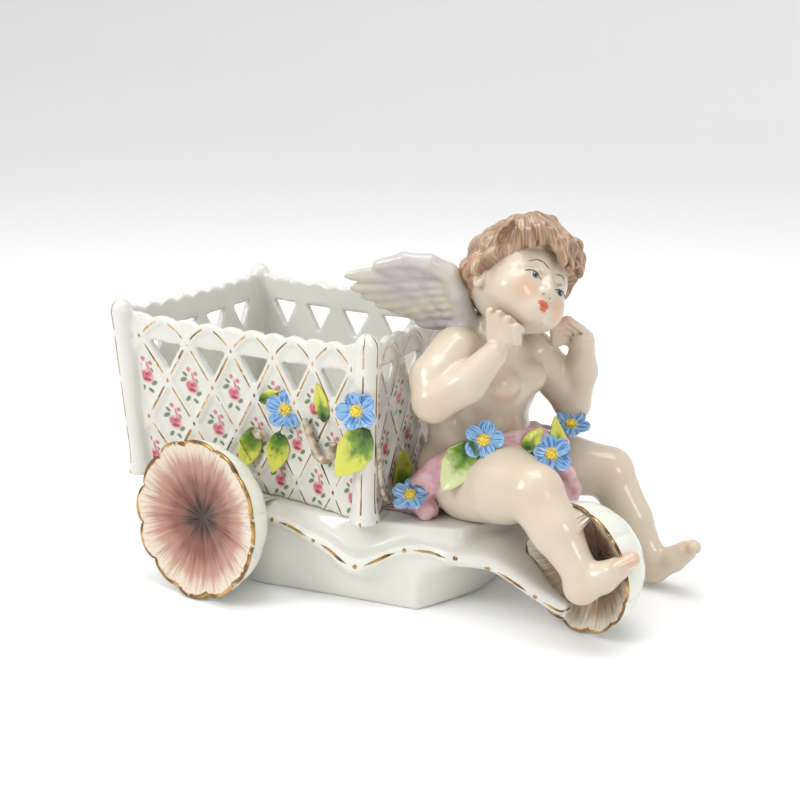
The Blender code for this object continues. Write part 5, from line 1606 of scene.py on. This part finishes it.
head_points = relax(head_points, head_quads, 2)
skins = [sample(whole_head, clay.field, head_points) for clay in (hair, face)]
around, down = strand_place(head_points)
head_mesh = make_mesh("cherub_head", in_row(SEAT + HEAD_CENTRE + head_points @ HEAD_TURN.T), head_quads)
set_attribute(head_mesh, "hair", np.clip(0.5 - 1.2 * (skins[0] - skins[1]), 0, 1))
set_attribute(head_mesh, "head_place",
              np.where(head_points[:, :1] > 8, head_points, head_points + (0, 0, ANY)))
set_attribute(head_mesh, "strand", np.stack((np.cos(around), np.sin(around), down), 1))
place_piece("cherub_head", head_mesh, "cherub", head_paint)

# %% Basket, base and wheels
basket_mesh = make_mesh("basket", bedded(in_row(basket_points), ["base"]), basket_quads)
set_attribute(basket_mesh, "lattice", lattice_marks(basket_points))
reach, turn = post_marks(basket_points)
set_attribute(basket_mesh, "post", np.stack((reach, turn, reach * 0), 1))
place_piece("lattice_basket", basket_mesh, "basket", basket_paint)

base_mesh = make_mesh("base", in_row(base_points), base_quads)
left_course = right_edge * (1, -1, 1)
marks = [course_marks(base_points, course) for course in (gold_course, left_course)]
nearer = (marks[0][:, 2] < marks[1][:, 2])[:, None]
set_attribute(base_mesh, "course", np.where(nearer, marks[0], marks[1]))
place_piece("scrolled_base", base_mesh, "base", base_paint)

for name, radius, dome, cup, taper, facing, centre, paint in (
        ("rear_wheel_right", 32.2, 26, 5, 1.35, (-0.087, -0.989, 0.12), (-50.5, -76), rear_paint),
        ("rear_wheel_left", 32.2, 26, 5, 1.35, (-0.087, 0.989, 0.12), (-50.5, 76), rear_paint),
        ("front_wheel", 25.5, 25, 13, 1.0, (-0.325, -0.943, -0.05), (93.2, -28.05), front_paint)):
    points, faces, around, shares = make_wheel(radius, dome, cup, taper, facing, centre, len(name))
    mesh = make_mesh(name, bedded(in_row(points), ["base", "basket"]), faces)
    set_attribute(mesh, "bloom", np.concatenate((around, shares[:, :1]), 1))
    set_attribute(mesh, "front", shares[:, 1])
    place_piece("flower_" + name, mesh, name, paint)

# %% [markdown]
# ## Flowers, leaves and twigs

# %% Forget-me-nots
RIGHT, FRONT = 0, 1
carrier_tree = solid_tree(*CARRIERS)
flower_tree, flower_inputs = flower_group()
petal = petal_mesh()
blooms = (
    ("basket_side", on_wall(RIGHT, 0.650, 31.0), 0.3, 10, 0),
    ("basket_post", on_wall(RIGHT, 0.955, 26.0), 0.6, 40, 0),
    ("base", on_seat(-6, -38, 10), 0.3, 20, 1.0), ("hip", on_seat(18, -24, 34), 1.0, 5, 0),
    ("lap", on_seat(40, -10, 28), 0.6, 30, 0.2), ("far_hip", on_seat(36, 18, 31), 0.3, 50, 1.6))
for number, (name, target, lift, spin, lean) in enumerate(blooms):
    place, normal = press_on(carrier_tree, target)
    normal = 0.3 * normal - 0.7 * PRESS + lean * np.array((0, 0, 1))
    normal /= np.linalg.norm(normal)
    settings = {flower_inputs["Seed"]: number + 3, flower_inputs["Blue"]: blue_paint,
                flower_inputs["Yellow"]: yellow_paint}
    mesh = grown(petal, flower_tree, settings)
    points = np.zeros(3 * len(mesh.vertices))
    mesh.vertices.foreach_get("co", points)
    points = points.reshape(-1, 3) @ facing_frame(normal,
                                                  spin).T + place + normal * lift * FLOWER_DEPTH * MM
    points = bedded(points, CARRIERS + WHEELS)
    mesh.vertices.foreach_set("co", points.ravel())
    mesh.update()
    node = "forget_me_not_" + name
    place_piece("bloom_" + name, mesh, node, None)

# %% Leaves
leaves = (
    ("basket_bud", on_wall(RIGHT, 0.592, 26.5), 25, 11, 6, leaf_paint),
    ("basket_slim", on_wall(RIGHT, 0.806, 25.0), 100, 16, 6.2, leaf_paint),
    ("basket_low_rear", on_wall(RIGHT, 0.494, 52.0), 255, 19, 10.5, leaf_paint),
    ("basket_low_front", on_wall(RIGHT, 0.613, 51.0), 262, 18, 10.5, leaf_paint),
    ("basket_broad", on_wall(RIGHT, 0.945, 43.5), 235, 25, 15, leaf_paint),
    ("basket_corner", on_wall(FRONT, 0.340, 61.0), 80, 20, 11, leaf_paint),
    ("hip", on_seat(9, -26, 23), 245, 23, 14, pale_leaf_paint),
    ("lap_far", on_seat(38, 0, 32), 75, 17, 8, leaf_paint),
    ("lap_near", on_seat(33, -12, 33), 40, 13, 7, leaf_paint))
flower_nodes = ["forget_me_not_" + name for name, *_ in blooms]
for number, (name, target, spin, length, width, paint) in enumerate(leaves):
    lift = 1.2 if name == "hip" else 0.7 if name.startswith("basket") else 0.3
    place, normal = press_on(carrier_tree, target)
    normal = 0.6 * normal - 0.4 * PRESS
    normal /= np.linalg.norm(normal)
    points, faces, marks = leaf_mesh(length, width, number)
    points = points * MM @ facing_frame(normal, spin).T + place + normal * lift * LEAF_THICKNESS * MM
    mesh = make_mesh("leaf_" + name, bedded(points, CARRIERS + WHEELS + flower_nodes), faces)
    set_attribute(mesh, "leaf_place", marks)
    place_piece("foliage_" + name, mesh, "leaf_" + name, paint)

# %% Twigs
twig_tree, twig_inputs = twig_group()
twigs = (
    ("loop", RIGHT, 1.65, 2.0, ((0.735, 33.5), (0.765, 41.0), (0.785, 47.5), (0.82, 49.5), (0.85, 46.5),
                                (0.86, 41.0))),
    ("corner", FRONT, 1.1, 2.96, ((0.03, 40.0), (0.05, 50.0), (0.075, 58.0), (0.11, 64.0), (0.17, 68.5))),
    ("stub", RIGHT, 1.87, 2.0, ((0.525, 42.5), (0.545, 44.5), (0.560, 43.0))))
for name, side, thickness, stand, path in twigs:
    knots = [wall_point(side, along, BASKET_RIM - below, stand) for along, below in path]
    line = in_row(curve_through(knots, 8, False))
    mesh = bpy.data.meshes.new("path")
    mesh.from_pydata(line.tolist(), [(start, start + 1) for start in range(len(line) - 1)], [])
    mesh = grown(mesh, twig_tree,
                 {twig_inputs["Thickness"]: thickness * MM, twig_inputs["Bark"]: twig_paint})
    points = np.zeros(3 * len(mesh.vertices))
    mesh.vertices.foreach_get("co", points)
    points = bedded(points.reshape(-1, 3), CARRIERS + WHEELS + flower_nodes)
    mesh.vertices.foreach_set("co", points.ravel())
    mesh.update()
    place_piece("coil_" + name, mesh, "twig_basket_" + name, None)
triangles = sum(len(item.data.loop_triangles) or len(item.data.polygons) * 2 for item in pieces)
print(len(pieces), "pieces,", triangles, "triangles")

# %% [markdown]
# ## Studio
# A pale floor and wall, three soft panels of light, and the camera where the photograph was taken.

# %% Floor, light and camera
FLOOR_STEPS = 64
bowl = ((0.0, 0.0), (1.4, 0.0), (1.9, 0.03), (2.3, 0.14), (2.6, 0.36), (2.8, 0.70), (2.9, 1.2),
        (2.92, 1.7))
rings = [[(reach * math.cos(turn), reach * math.sin(turn), height) for turn in
          2 * math.pi * np.arange(FLOOR_STEPS) / FLOOR_STEPS] for reach, height in bowl[1:]]
floor_points = np.array(rings).reshape(-1, 3)
floor_faces = loft_faces(len(rings), FLOOR_STEPS)[:-2] + [tuple(range(FLOOR_STEPS))]
floor_mesh = make_mesh("floor", floor_points,
                       [tuple(reversed(face)) for face in floor_faces[:-1]] + floor_faces[-1:])
floor = bpy.data.objects.new("floor", floor_mesh)
bpy.context.scene.collection.objects.link(floor)
paper = bpy.data.materials.new("paper")
paper.use_nodes = True
paper.node_tree.nodes["Principled BSDF"].inputs["Base Color"].default_value = (0.92, 0.92, 0.92, 1)
paper.node_tree.nodes["Principled BSDF"].inputs["Roughness"].default_value = 0.9
floor_mesh.materials.append(paper)

world = bpy.data.worlds.new("studio")
world.use_nodes = True
world.node_tree.nodes["Background"].inputs["Color"].default_value = (1.0, 1.0, 1.0, 1)
world.node_tree.nodes["Background"].inputs["Strength"].default_value = 0.48
bpy.context.scene.world = world
bpy.context.scene.view_settings.view_transform = "Standard"

sun = bpy.data.objects.new("sky", bpy.data.lights.new("sky", "SUN"))
sun.data.energy, sun.data.angle = 0.82, math.radians(60)
sun.rotation_euler = (math.radians(20), math.radians(-15), 0)
bpy.context.scene.collection.objects.link(sun)
TARGET = Vector((0, 0, 0.071)) + SHIFT
for name, place, width, power in (
        ("front left", (-0.55, -0.95, 0.85), 0.5, 6.7), ("top", (0.1, 0.1, 1.2), 0.7, 6.3),
        ("right", (1.1, -0.35, 0.55), 0.35, 2.2)):
    light = bpy.data.lights.new(name, "AREA")
    light.shape, light.size, light.energy = "SQUARE", width, power
    lamp = bpy.data.objects.new(name, light)
    bpy.context.scene.collection.objects.link(lamp)
    lamp.location = Vector(place) + SHIFT
    lamp.rotation_euler = (TARGET - lamp.location).to_track_quat("-Z", "Y").to_euler()

lens = bpy.data.cameras.new("camera")
lens.lens, lens.sensor_width = 56.7, 36.0
camera = bpy.data.objects.new("camera", lens)
bpy.context.scene.collection.objects.link(camera)
camera.location = Vector((0.2617, -0.4356, 0.2215)) + SHIFT
camera.rotation_euler = (TARGET - camera.location).to_track_quat("-Z", "Y").to_euler()
bpy.context.scene.camera = camera
